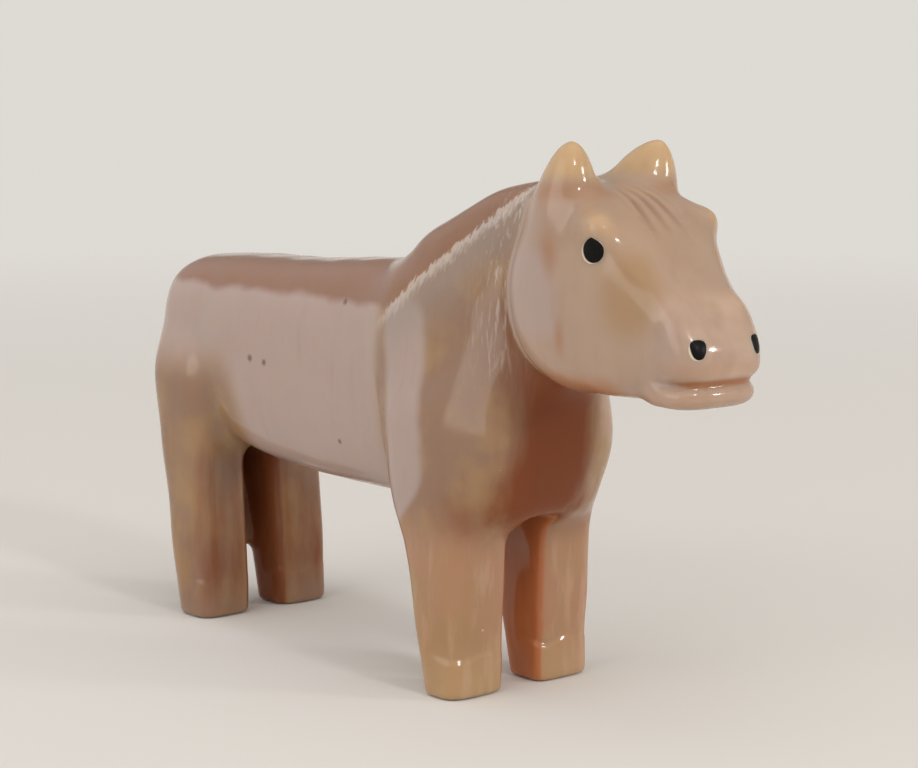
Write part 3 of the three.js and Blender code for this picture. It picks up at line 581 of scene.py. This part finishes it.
def trunk_areas(x, y, z, out, body):
    """Shares of the places on the trunk and legs that take their own colour, painted sheen, a painted brown
    reflection, painted shade and painted glow, from where they lie along the carving, their heights, how far
    round the chest they are in degrees, and the way they face."""
    round_chest = np.degrees(np.arctan2(np.abs(y), x - CHEST_X))
    chest = body * rises(x, CHEST_X, CHEST_X + 5) * rises(z, 12.5, 16.5) * falls(z, 32, 37)
    lower_is_wider = 1.4 * falls(z, 14, 23)
    shoulder_band = (x - 15.2 + 0.2 * np.maximum(z - 22, 0)) / 2.9
    shoulder_foot = 0.9 * np.maximum(x - 14, 0)
    # Faces of the legs turned towards each other low down, where painted shade and painted glow go
    inwards = rises(-out[:, 1] * np.sign(y), 0.3, 0.7) * falls(z, 14, 17)
    return SimpleNamespace(
        forehand=body * rises(x, 6.5, 11.5),
        neck=body * rises(x, 8, 12) * rises(z, 25, 31),
        # The top of the back, which takes a painted brown reflection
        back=falls(x, 10, 14) * rises(z, 30.2, 33.2),
        # A band down the shoulder where a painted reflection of the side light lies
        shoulder=np.exp(-shoulder_band ** 4) * rises(z - shoulder_foot, 13, 15) * falls(z, 31, 34),
        # The front of the chest, the fold at its foot and the tops of the legs take painted shade under the
        # head
        chest_front=chest * falls(-y - lower_is_wider, 2.2, 7.6) * falls(y, 1, 5),
        chest_left=chest * rises(y, 1.5, 5),
        fold=body * bell(z, 15.2, 2.2) * falls(round_chest, 18, 52),
        leg_tops=body * bell(z, 15.5, 3) * falls(round_chest, 60, 110),
        front_legs=rises(x, 8, 11) * falls(z, 10, 19),
        hind_legs=falls(x, -15, -8) * falls(z, 19, 31),
        # The fronts of the hind legs under the belly, and their insides, take painted shade
        low_quarters=falls(x, -12, -4) * rises(z, -1, 5) * falls(z, 5, 21),
        hooves=rises(x, -10, 10) * falls(z, 1.5, 6.5),
        inwards=inwards,
        inner_hind=inwards * falls(x, -4, 4),
        inner_front=inwards * rises(x, 17.5, 21.5),
    )


def stone_masks(points):
    """Shares from 0 to 1, or heights in millimetres, at each point, for the stone's material to read. A mask
    is the largest of the shares of its places, each times a strength."""
    x, y, z = points.T
    out = unit(slope_of(stone_distance, points))
    open_air = [np.clip(stone_distance(*(points + h * out).T) / h, 0, 1) for h in (1.5, 3.0, 6.0)]
    on_head = falls(head_distance(x, np.abs(y), z), 0.12, 0.37)
    head = head_areas(x, y, z, on_head)
    trunk = trunk_areas(x, y, z, out, 1 - on_head)
    # Height over the line where the painted reflection on the neck's side ends
    crest = z - SHEEN_EDGE_HEIGHT - SHEEN_EDGE_CLIMB * (x - SHEEN_EDGE_X)
    # Painted shade on the chest under the head, in its fold and at the tops of the legs
    painted_chest_shade = np.maximum.reduce((trunk.chest_front, 0.8 * trunk.fold, 0.4 * trunk.leg_tops))
    # Where the painted sheen lies: the trunk behind the forehand, the head faintly, the cheeks more and the
    # shoulder band most
    sheen_places = np.maximum.reduce((
        1 - on_head - trunk.forehand,
        0.42 * on_head,
        0.7 * head.cheek,
        0.95 * trunk.shoulder,
    ))
    return {
        # Painted shade in hollows: the less open air lies off the surface at 1.5, 3 and 6 mm, the more
        "hollow": 1 - sum(open_air) / len(open_air),
        "brown": np.maximum(trunk.forehand, trunk.hind_legs),
        "painted_sheen": sheen_places * (1 - trunk.hind_legs),
        "neck": trunk.neck,
        "crest": crest,
        # Painted brown reflection on the back and above the crest line of the neck
        "top": np.maximum(trunk.back, trunk.neck * rises(crest, -0.2, 0.8)),
        # Painted glow of light through thin stone on the ears, the hooves and the brow
        "glow": np.maximum.reduce((head.ears, 0.4 * trunk.hooves, 0.5 * head.brow)),
        # Painted shade on the chest, on the fronts of the low quarters and inside the hind legs
        "painted_shade": np.maximum.reduce((
            painted_chest_shade * (1 - trunk.inwards),
            trunk.low_quarters * (0.2 + 0.3 * rises(out[:, 0], 0.2, 0.7)),
            0.75 * trunk.inner_hind,
        )),
        # Painted glow on the inner faces of the front legs
        "painted_inner_glow": trunk.inwards - trunk.inner_hind,
        "tan": trunk.front_legs,
        # Painted light on the muzzle, and the paler stone on the left of the chest
        "fair_and_painted_light": np.maximum(head.muzzle, 0.7 * trunk.chest_left),
        # Painted shade in the mouth, above the lip, under the jaw and inside the front legs, with the stone's
        # orange at the ear feet and round the eyes
        "amber_and_painted_shade": np.maximum.reduce((
            head.lips,
            0.7 * head.jaw,
            0.36 * head.above_lip,
            0.5 * head.ear_feet,
            0.58 * head.behind_eye,
            0.58 * head.below_eye,
            0.5 * trunk.inner_front,
        )),
        "olive": head.before_eye,
        "wisps": trunk.neck * bell(x, 25, 2.6),
        "forelock": forelock_share(x, y, z),
    }


def add(tree, kind, inputs=None, **settings):
    """A new shader node with its settings. Each input is a node or socket to link from, or a constant."""
    node = tree.nodes.new("ShaderNode" + kind)
    for name, value in settings.items():
        setattr(node, name, value)
    for key, value in (inputs or {}).items():
        if isinstance(value, bpy.types.Node):
            value = value.outputs[0]
        if isinstance(value, bpy.types.NodeSocket):
            tree.links.new(value, node.inputs[key])
        else:
            node.inputs[key].default_value = value
    return node


def new_material(name):
    """An empty node material, its tree, and the Object coordinates."""
    finish = bpy.data.materials.new(name)
    finish.use_nodes = True
    tree = finish.node_tree
    tree.nodes.clear()
    return finish, tree, add(tree, "TexCoord").outputs["Object"]


def stone_shares(tree, place):
    """Share of each colour over the stone, and the noises. A share is a mask, a noise, or a mask plus a noise
    that makes its edge waver, eased between two values."""
    mask_names = (
        "hollow", "brown", "painted_sheen", "neck", "crest", "top", "glow", "painted_shade", "painted_inner_glow", "tan", "fair_and_painted_light", "amber_and_painted_shade",
        "forelock", "olive", "wisps",
    )
    masks = {
        name: add(tree, "Attribute", attribute_name=name).outputs["Fac"]
        for name in mask_names
    }
    # Hairs hang down the neck, seven times as long as they are wide
    hanging = add(tree, "Mapping", {
        "Vector": place,
        "Rotation": (0, math.radians(-18), 0),
        "Scale": (1, 1, 0.14),
    })
    # Streaks stand upright, four and a half times as long as they are wide
    upright = add(tree, "Mapping", {"Vector": place, "Scale": (1, 1, 0.22)})
    patterns = {
        # Name: coordinates, size of a blotch in millimetres, detail
        "clouds": (place, 9.0, 3.0),
        "mottle": (place, 4.5, 4.0),
        "streaks": (upright, 1.3, 3.0),
        "hairs": (hanging, 0.3, 3.0),
        "wear": (place, 2.2, 2.0),
        "dents": (place, 1.6, 2.0),
        "ragged": (place, 0.25, 2.0),
    }
    noise = {
        name: add(tree, "TexNoise", {
            "Vector": at,
            "Scale": 1 / (size * MM),
            "Detail": detail,
        })
        for name, (at, size, detail) in patterns.items()
    }
    sways = {
        # Mask: noise, how much of it is added
        "crest": ("hairs", 2.4),
        "top": ("mottle", 0.7),
        "painted_sheen": ("clouds", 0.9),
        "painted_shade": ("streaks", 0.7),
        "brown": ("clouds", 0.5),
        "tan": ("clouds", 0.7),
    }
    wavy = {
        name: add(tree, "Math", {
            0: noise[pattern],
            1: sway,
            2: masks[name],
        }, operation="MULTIPLY_ADD")
        for name, (pattern, sway) in sways.items()
    }
    ramps = {
        # Name: value, where the share is 0, where it is 1, the share's top
        "clouds": (noise["clouds"], 0.42, 0.66, 0.6),
        "mottle": (noise["mottle"], 0.44, 0.66, 0.55),
        "grain": (noise["streaks"], 0.45, 0.75, 0.4),
        "forelock": (masks["forelock"], 0.1, 1.0, 0.5),
        "olive": (masks["olive"], 0.0, 0.8, 0.75),
        "wisps": (noise["hairs"], 0.5, 0.75, 0.6),
        "brown": (wavy["brown"], 0.35, 1.15, 1.0),
        "painted_sheen": (wavy["painted_sheen"], 0.55, 1.3, 0.9),
        "top": (wavy["top"], 0.6, 1.05, 0.85),
        # Below the crest line lies the painted sheen of the neck, and along it the painted milky edge of that
        # sheen
        "below_edge": (wavy["crest"], 1.4, 0.9, 1.0),
        "above_end": (wavy["crest"], -7.0, 0.0, 0.6),
        "under_line": (wavy["crest"], 1.5, 1.2, 0.5),
        "over_line": (wavy["crest"], -0.4, 1.2, 1.0),
        "thin": (masks["glow"], 0.05, 0.9, 0.85),
        "hollow": (masks["hollow"], 0.3, 0.95, 0.6),
        "painted_shade": (wavy["painted_shade"], 0.35, 1.3, 1.0),
        "painted_inner_glow": (masks["painted_inner_glow"], 0.0, 1.0, 0.85),
        "tan": (wavy["tan"], 0.35, 1.15, 0.9),
        "fair_and_painted_light": (masks["fair_and_painted_light"], 0.0, 1.0, 0.9),
        "amber_and_painted_shade": (masks["amber_and_painted_shade"], 0.15, 1.0, 0.85),
        "gloss": (noise["wear"], 0.3, 0.8, 0.1),
    }
    share = {
        name: add(tree, "MapRange", {
            "Value": value,
            "From Min": start,
            "From Max": end,
            "To Max": top,
        }, interpolation_type="SMOOTHSTEP")
        for name, (value, start, end, top) in ramps.items()
    }
    products = (
        # Share, and the two values that are multiplied into it
        # The painted sheen of the neck, and its painted milky edge along the crest line
        ("neck_sheen_share", share["below_edge"], share["above_end"]),
        ("line", share["under_line"], share["over_line"]),
        ("wisps", share["wisps"], masks["wisps"]),
        ("grain", share["grain"], masks["tan"]),
    )
    for name, first, second in products:
        share[name] = add(tree, "Math", {0: first, 1: second}, operation="MULTIPLY")
    for name in ("neck_sheen_share", "line"):
        share[name] = add(tree, "Math", {0: share[name], 1: masks["neck"]}, operation="MULTIPLY")
    return share, noise


def spot_layers(tree, place, ragged, stone):
    """Share and colour of each speck and fleck: a round spot whose ragged edge wavers by about a third of its
    radius."""
    layers = []
    for spots, tint, top in ((DARK_SPECKS, stone.speck, 0.75), (WHITE_FLECKS, stone.fleck, 0.6)):
        for spot, radius in spots:
            centre = tuple(float(c) * MM for c in np.array(spot) + (SHIFT_X, 0, 0))
            away = add(tree, "VectorMath", {0: place, 1: centre}, operation="DISTANCE")
            rough_edge = add(tree, "Math", {
                0: ragged,
                1: 0.7 * radius * MM,
                2: away.outputs["Value"],
            }, operation="MULTIPLY_ADD")
            covered = add(tree, "MapRange", {
                "Value": rough_edge,
                "From Min": 1.5 * radius * MM,
                "From Max": 0.6 * radius * MM,
                "To Max": top,
            }, interpolation_type="SMOOTHSTEP")
            layers.append((covered, tint))
    return layers


def polished_honey_calcite(stone):
    """Polished translucent calcite: light goes a few millimetres in and comes back warm. Over its own soft
    clouds, streaks and a few specks under the gloss lie painted light and shade: a yellow glow on thin parts,
    red shade in the hollows and on the chest, an orange glow between the front legs, a milky sheen on the
    flanks, cheeks and shoulder, and reflections along the neck and over the back."""
    finish, tree, place = new_material("polished_honey_calcite")
    share, noise = stone_shares(tree, place)
    layers = [
        (share["brown"], stone.hazel),
        (share["tan"], stone.tan),
        # Painted light on the muzzle, with the paler stone of the chest's left
        (share["fair_and_painted_light"], stone.fair_and_painted_light),
        (share["clouds"], stone.honey),
        (share["mottle"], stone.honey),
        # Painted sheen of reflected side light
        (share["painted_sheen"], stone.painted_sheen),
        (share["grain"], stone.fair_and_painted_light),
        (share["olive"], stone.honey),
        (share["forelock"], stone.umber_and_painted_reflection),
        # Painted brown reflection on the back and crest, and the brown of the forelock
        (share["top"], stone.umber_and_painted_reflection),
        # Painted reflection on the side of the neck, with its painted milky edge and the milky streaks below
        (share["neck_sheen_share"], stone.painted_neck_sheen),
        (share["wisps"], stone.milk_streaks_and_sheen_edge),
        (share["line"], stone.milk_streaks_and_sheen_edge),
        # Painted glow on the thin parts
        (share["thin"], stone.thin),
        # Painted shade in the hollows, on the chest and on the hind legs
        (share["hollow"], stone.painted_shade),
        (share["painted_shade"], stone.painted_shade),
        # Painted glow between the front legs
        (share["painted_inner_glow"], stone.painted_inner_glow),
        # Orange of the stone, and painted shade in the mouth, under the jaw and inside the front legs
        (share["amber_and_painted_shade"], stone.amber_and_painted_shade),
        *spot_layers(tree, place, noise["ragged"], stone),
    ]
    base = add(tree, "RGB").outputs[0]
    base.default_value = stone.beige
    for amount, tint in layers:
        base = add(tree, "Mix", {0: amount, 6: base, 7: tint}, data_type="RGBA").outputs[2]
    gloss = add(tree, "Math", {0: share["gloss"], 1: 0.1}, operation="ADD")
    dull = add(tree, "Math", {0: share["thin"], 1: 0.5, 2: share["painted_shade"]}, operation="MULTIPLY_ADD")
    shine = add(tree, "MapRange", {"Value": dull, "To Min": 0.38, "To Max": 0.12})
    bump = add(tree, "Bump", {"Height": noise["dents"], "Strength": 0.25, "Distance": 0.02 * MM})
    shader = add(tree, "BsdfPrincipled", {
        "Base Color": base,
        "Roughness": gloss,
        "IOR": 1.55,
        "Specular IOR Level": shine,
        "Subsurface Weight": 0.7,
        "Subsurface Radius": (1.0, 0.55, 0.32),
        "Subsurface Scale": 2.6 * MM,
        "Normal": bump,
    })
    add(tree, "OutputMaterial", {"Surface": shader})
    return finish


def polished_jet(inlay):
    """Polished jet: near black with a waxy gloss that the finest scratches, 0.35 mm apart, break up."""
    finish, tree, place = new_material("polished_jet")
    scratches = add(tree, "TexNoise", {"Vector": place, "Scale": 1 / (0.35 * MM), "Detail": 3.0})
    grey = add(tree, "MapRange", {"Value": scratches, "From Min": 0.5, "From Max": 0.8, "To Max": 0.4})
    base = add(tree, "Mix", {0: grey, 6: inlay.jet, 7: inlay.worn_jet}, data_type="RGBA")
    gloss = add(tree, "MapRange", {"Value": scratches, "From Min": 0.2, "To Min": 0.3, "To Max": 0.55})
    shader = add(tree, "BsdfPrincipled", {
        "Base Color": base.outputs[2],
        "Roughness": gloss,
        "IOR": 1.66,
        "Specular IOR Level": 0.08,
    })
    add(tree, "OutputMaterial", {"Surface": shader})
    return finish


def cured_epoxy(inlay):
    """Cured epoxy: a pale line round an inlay that takes the stone's colour, cloudy in blotches of 0.5 mm."""
    finish, tree, place = new_material("cured_epoxy")
    blotches = add(tree, "TexNoise", {"Vector": place, "Scale": 1 / (0.5 * MM), "Detail": 2.0})
    cloudy = add(tree, "MapRange", {
        "Value": blotches,
        "From Min": 0.35,
        "From Max": 0.75,
        "To Max": 0.6,
    })
    base = add(tree, "Mix", {
        0: cloudy,
        6: inlay.glue,
        7: inlay.milky_glue,
    }, data_type="RGBA")
    shader = add(tree, "BsdfPrincipled", {
        "Base Color": base.outputs[2],
        "Roughness": 0.25,
        "IOR": 1.55,
        "Subsurface Weight": 0.4,
        "Subsurface Radius": (1.0, 0.7, 0.4),
        "Subsurface Scale": 0.4 * MM,
    })
    add(tree, "OutputMaterial", {"Surface": shader})
    return finish


class STONEHORSE_OT_body(Operator):
    """Carve the horse from one stone"""

    bl_idname = "stonehorse.body"
    bl_label = "Stone body"

    def execute(self, context):
        stone = context.scene.stone_settings
        body = stone.body_facet / MM
        head = stone.head_facet / MM
        middle = (body + head) / 2
        rims = body / 3
        side = grid_lines(GRID_Y, (middle,)) + middle / 2
        axes = (
            grid_lines(GRID_X, (body, head)),
            np.concatenate((-side[::-1], side)),
            grid_lines(GRID_Z, (body, rims, body, head)),
        )
        points, faces = surface_net(lambda *p: worked_distance(stone, *p), axes)
        points[:, 2] = np.maximum(points[:, 2], 0)
        finish = polished_honey_calcite(stone)
        piece = put_mesh("horse_stone", points, faces, finish, "stone_body")
        for name, values in stone_masks(points).items():
            layer = piece.data.attributes.new(name, "FLOAT", "POINT")
            layer.data.foreach_set("value", values.astype(np.float32))
        return {"FINISHED"}


def eye_outline(width, tall):
    """Half circle below and two parabolas above that meet in a blunt point."""
    radius = width / 2
    tip = tall - radius
    fullness = 0.62
    turn = np.linspace(np.pi, 2 * np.pi, 40, endpoint=False)
    t = np.linspace(0, 1, 24, endpoint=False)
    low = radius * np.stack((np.cos(turn), np.sin(turn)), 1)
    swell = 2 * t * (1 - t) * fullness
    rise = np.stack((radius * (1 - t * t), tip * (swell + t * t)), 1)
    fall = np.stack((-radius * (1 - (1 - t) ** 2), tip * (swell + (1 - t) ** 2)), 1)
    return np.concatenate((low, rise, fall))


def nostril_outline(width, tall):
    """Superellipse whose width grows by about two thirds from bottom to top."""
    square = 2.6
    turn = np.linspace(0, 2 * np.pi, 88, endpoint=False)
    c = np.cos(turn)
    s = np.sin(turn)
    reach = (np.abs(c) ** square + np.abs(s) ** square) ** (-1 / square)
    taper = 0.82 + 0.2 * reach * s
    return np.stack((width / 2 * reach * c * taper, tall / 2 * reach * s), 1)


def seat_on_stone(start, way):
    """Point where a line leaves the stone, found by halving, with the surface's own across, up and out."""
    near = 0.0
    far = 16.0
    for _ in range(40):
        middle = (near + far) / 2
        if stone_distance(*(start + middle * way)) < 0:
            near = middle
        else:
            far = middle
    point = start + near * way
    out = unit(slope_of(stone_distance, point[None])[0])
    across = unit(np.cross((0, 0, 1), out))
    return point, np.stack((across, np.cross(out, across), out))


def ring_faces(count, around):
    """Four-sided faces between rings of points, with the numbers of the first ring's points and of the next
    point round from each."""
    rows = np.arange(count)[:, None] * around
    here = np.arange(around)
    there = (here + 1) % around
    quads = np.stack((rows[:-1] + here, rows[1:] + here, rows[1:] + there, rows[:-1] + there), 2)
    return quads.reshape(-1, 4), here, there


def inlay_surface(stone, outline, shares, offsets, lifts, seat):
    """Closed surface of rings: each is the outline times a share, plus an offset outwards, laid on the stone
    along the seat's way out and then lifted. The first and last ring are single points."""
    point, basis = seat
    rings = outline[None] * shares[:, None, None] + unit(outline)[None] * offsets[..., None]
    around = len(outline)
    flat = np.concatenate((rings[1:-1].reshape(-1, 2), np.zeros((2, 2))))
    lift = np.concatenate((np.repeat(lifts[1:-1], around), lifts[[0, -1]]))
    points = point + flat @ basis[:2]
    for _ in range(6):
        points -= worked_distance(stone, *points.T)[:, None] * basis[2]
    points += lift[:, None] * basis[2]
    quads, here, there = ring_faces(len(shares) - 2, around)
    end = quads.max() + 1 - around
    first = np.stack((np.full(around, len(points) - 2), here, there), 1)
    last = np.stack((np.full(around, len(points) - 1), end + there, end + here), 1)
    return points, quads.tolist() + first.tolist() + last.tolist()


def set_inlay(name, outline, depth, seat, stone, inlay, finishes):
    """A domed peg, whose dome falls with the square of the share outwards, and the cup of glue round it. The
    cup's width grows with the square of the turn down and towards the tail, where the socket is left open."""
    jet, epoxy = finishes
    dome = inlay.dome / MM
    gap = inlay.clearance / MM
    bed = inlay.bed / MM

    # The peg's rings go from the middle of its face over the edge and down to its foot
    edge = 0.02
    face = np.linspace(0, 0.95, 12)
    shares = np.concatenate((face, (0.985, 1.0, 1.0, 0.94, 0.0)))
    lifts = np.concatenate((edge + dome * (1 - face ** 2), (edge, -0.05, 0.06 - depth, -depth, -depth)))
    flush = np.zeros((len(shares), len(outline)))
    points, faces = inlay_surface(stone, outline, shares, flush, lifts, seat)
    put_mesh(name + "_inlay", points, faces, jet, name)

    # The cup's rings go from under the peg's foot up its side, over the rim and down to the socket's floor
    rearwards = unit(outline) @ unit(np.array((-np.sign(seat[1][0][0]), -0.6)))
    width = gap * (0.15 + 2.0 * np.maximum(rearwards, 0) ** 2)
    film = 0.01
    low = -depth - gap
    shares = np.array((0, 1, 1, 1, 1, 1, 1, 0.0))
    spread = np.array((0, 0, 0, 0.3, 0.8, 1, 1, 0))
    offsets = spread[:, None] * width + film * shares[:, None]
    lifts = np.array((low, low, 0.0, 0.03, 0.03, -0.02, low - bed, low - bed))
    points, faces = inlay_surface(stone, outline, shares, offsets, lifts, seat)
    put_mesh(name + "_glue_cup", points, faces, epoxy, name + "_glue")


class STONEHORSE_OT_inlays(Operator):
    """Set the eyes and nostrils with their glue into the head"""

    bl_idname = "stonehorse.inlays"
    bl_label = "Eyes and nostrils"

    def execute(self, context):
        stone = context.scene.stone_settings
        inlay = context.scene.inlay_settings
        finishes = polished_jet(inlay), cured_epoxy(inlay)
        eye = eye_outline(inlay.eye_width / MM, inlay.eye_tall / MM)
        nostril = nostril_outline(inlay.nostril_width / MM, inlay.nostril_tall / MM)
        for side, mirror in (("right", -1), ("left", 1)):
            turned = np.array((1, mirror, 1))
            seat = seat_on_stone(EYE_START, EYE_WAY * turned)
            set_inlay(side + "_eye", eye, inlay.eye_depth / MM, seat, stone, inlay, finishes)
            seat = seat_on_stone(NOSTRIL_START, NOSTRIL_WAY * turned)
            set_inlay(side + "_nostril", nostril, inlay.nostril_depth / MM, seat, stone, inlay, finishes)
        return {"FINISHED"}


def matt_card(stage):
    """Matt card: even and rough with a very faint mottle of 40 mm, fading with distance into a pale backdrop
    that eyes and reflections see but that lights nothing."""
    finish, tree, place = new_material("matt_card")
    mottle = add(tree, "TexNoise", {"Vector": place, "Scale": 1 / (40 * MM), "Detail": 2.0})
    faint = add(tree, "MapRange", {"Value": mottle, "To Max": 0.08})
    base = add(tree, "Mix", {
        0: faint,
        6: stage.floor,
        7: stage.floor_mottle,
    }, data_type="RGBA")
    card = add(tree, "BsdfPrincipled", {"Base Color": base.outputs[2], "Roughness": 0.85})
    pale = add(tree, "Emission", {"Color": stage.backdrop, "Strength": 1.0})
    path = add(tree, "LightPath")
    seen = path.outputs["Is Camera Ray"]
    for kind in ("Is Glossy Ray", "Is Transmission Ray"):
        seen = add(tree, "Math", {0: seen, 1: path.outputs[kind]}, operation="MAXIMUM")
    away = add(tree, "VectorMath", {0: place}, operation="LENGTH").outputs["Value"]
    far = add(tree, "MapRange", {
        "Value": away,
        "From Min": 60 * MM,
        "From Max": 500 * MM,
    }, interpolation_type="SMOOTHSTEP")
    share = add(tree, "Math", {0: far, 1: seen}, operation="MULTIPLY")
    faded = add(tree, "MixShader", {0: share, 1: card, 2: pale})
    add(tree, "OutputMaterial", {"Surface": faded})
    return finish


def floor_bowl():
    """Flat floor that turns up into a wall all round: a profile of radius and height turned about Z."""
    bend = np.linspace(0, np.pi / 2, 16)[1:]
    flat = np.linspace(FLOOR_MIDDLE, FLOOR_RADIUS, 12)
    radius = np.concatenate((flat, FLOOR_RADIUS + WALL_BEND * np.sin(bend)))
    height = np.concatenate((0 * flat, WALL_BEND - WALL_BEND * np.cos(bend)))
    turn = np.linspace(0, 2 * np.pi, 96, endpoint=False)
    x = np.outer(radius, np.cos(turn))
    y = np.outer(radius, np.sin(turn))
    z = np.outer(height, np.ones(len(turn)))
    quads, here, _ = ring_faces(len(radius), len(turn))
    return np.stack((x, y, z), 2).reshape(-1, 3), quads.tolist() + [here.tolist()]


def way_to(turn, rise):
    """Direction at a turn about Z from +X and a rise from the floor, both in degrees."""
    turn = math.radians(turn)
    rise = math.radians(rise)
    return Vector((math.cos(rise) * math.cos(turn), math.cos(rise) * math.sin(turn), math.sin(rise)))


def studio_sky(stage):
    """Even light from all round plus two round glows, each falling smoothly from its core to its rim."""
    world = bpy.data.worlds.new("studio_sky")
    world.use_nodes = True
    tree = world.node_tree
    tree.nodes.clear()
    seen = add(tree, "TexCoord").outputs["Generated"]
    light = add(tree, "RGB").outputs[0]
    light.default_value = [stage.sky * c for c in stage.sky_tint]
    glows = (
        # Direction, angle of the core and of the rim in degrees, tint, strength
        (way_to(-142, 24), 22, 62, stage.window_tint, stage.side),
        (way_to(-12, 56), 15, 66, stage.overhead_tint, stage.overhead),
    )
    for way, core, rim, tint, level in glows:
        facing = add(tree, "VectorMath", {0: seen, 1: way}, operation="DOT_PRODUCT")
        share = add(tree, "MapRange", {
            "Value": facing.outputs["Value"],
            "From Min": math.cos(math.radians(rim)),
            "From Max": math.cos(math.radians(core)),
        }, interpolation_type="SMOOTHSTEP")
        light = add(tree, "Mix", {
            0: share,
            6: light,
            7: [level * c for c in tint],
        }, data_type="RGBA", blend_type="ADD").outputs[2]
    sky = add(tree, "Background", {"Color": light})
    add(tree, "OutputWorld", {"Surface": sky})
    return world


def put_lamp(name, turn, rise, distance, size, watts):
    """A rectangular area lamp that looks at the horse from a turn about Z and a rise, both in degrees."""
    lamp = bpy.data.lights.new(name, "AREA")
    lamp.shape = "RECTANGLE"
    lamp.size, lamp.size_y = size
    lamp.energy = watts
    way = way_to(turn, rise)
    piece = bpy.data.objects.new(name, lamp)
    piece.location = distance * way + Vector((0, 0, LAMP_AIM_HEIGHT))
    piece.rotation_euler = way.to_track_quat("Z", "Y").to_euler()
    bpy.context.scene.collection.objects.link(piece)


class STONEHORSE_OT_stage(Operator):
    """Lay the floor, set the lights and stand the camera off the right shoulder"""

    bl_idname = "stonehorse.stage"
    bl_label = "Stage"

    def execute(self, context):
        scene = context.scene
        stage = scene.stage_settings
        floor = smooth_mesh("floor", *floor_bowl(), matt_card(stage))

        scene.world = studio_sky(stage)
        lamps = (
            # Name, turn, rise, distance and size in metres, power
            ("window", -90, 20, 0.55, (0.5, 0.4), stage.window),
            ("left_lamp", 37, 15, 0.5, (0.065, 0.065), stage.lamp),
            ("middle_lamp", -4, 30, 0.5, (0.06, 0.06), stage.lamp),
        )
        for lamp in lamps:
            put_lamp(*lamp)

        camera = bpy.data.cameras.new("camera")
        camera.lens = stage.lens
        camera.sensor_width = 36
        camera.clip_start = 0.01
        viewer = bpy.data.objects.new("camera", camera)
        viewer.location = stage.place
        level = math.cos(stage.elevation)
        back = Vector((
            level * math.sin(stage.azimuth),
            -level * math.cos(stage.azimuth),
            math.sin(stage.elevation),
        ))
        viewer.rotation_euler = back.to_track_quat("Z", "Y").to_euler()
        scene.collection.objects.link(viewer)
        scene.camera = viewer
        scene.view_settings.view_transform = "Standard"
        return {"FINISHED"}


class STONEHORSE_PT_panel(Panel):
    """Lists the pieces and their settings"""

    bl_idname = "STONEHORSE_PT_panel"
    bl_label = "Stone horse"
    bl_space_type = "VIEW_3D"
    bl_region_type = "UI"
    bl_category = "Stone horse"

    def draw(self, context):
        for kind in OPERATORS:
            self.layout.operator(kind.bl_idname)
        for name, group in SETTINGS.items():
            box = self.layout.box()
            for setting in group.__annotations__:
                box.prop(getattr(context.scene, name), setting)


SETTINGS = {"stone_settings": StoneSettings, "inlay_settings": InlaySettings, "stage_settings": StageSettings}
OPERATORS = (STONEHORSE_OT_body, STONEHORSE_OT_inlays, STONEHORSE_OT_stage)
CLASSES = (*SETTINGS.values(), *OPERATORS, STONEHORSE_PT_panel)


def register():
    for kind in CLASSES:
        bpy.utils.register_class(kind)
    for name, group in SETTINGS.items():
        setattr(bpy.types.Scene, name, PointerProperty(type=group))


def unregister():
    for name in SETTINGS:
        delattr(bpy.types.Scene, name)
    for kind in reversed(CLASSES):
        bpy.utils.unregister_class(kind)


def main():
    register()
    bpy.ops.stonehorse.stage()
    bpy.ops.stonehorse.body()
    bpy.ops.stonehorse.inlays()


if __name__ == "__main__":
    main()
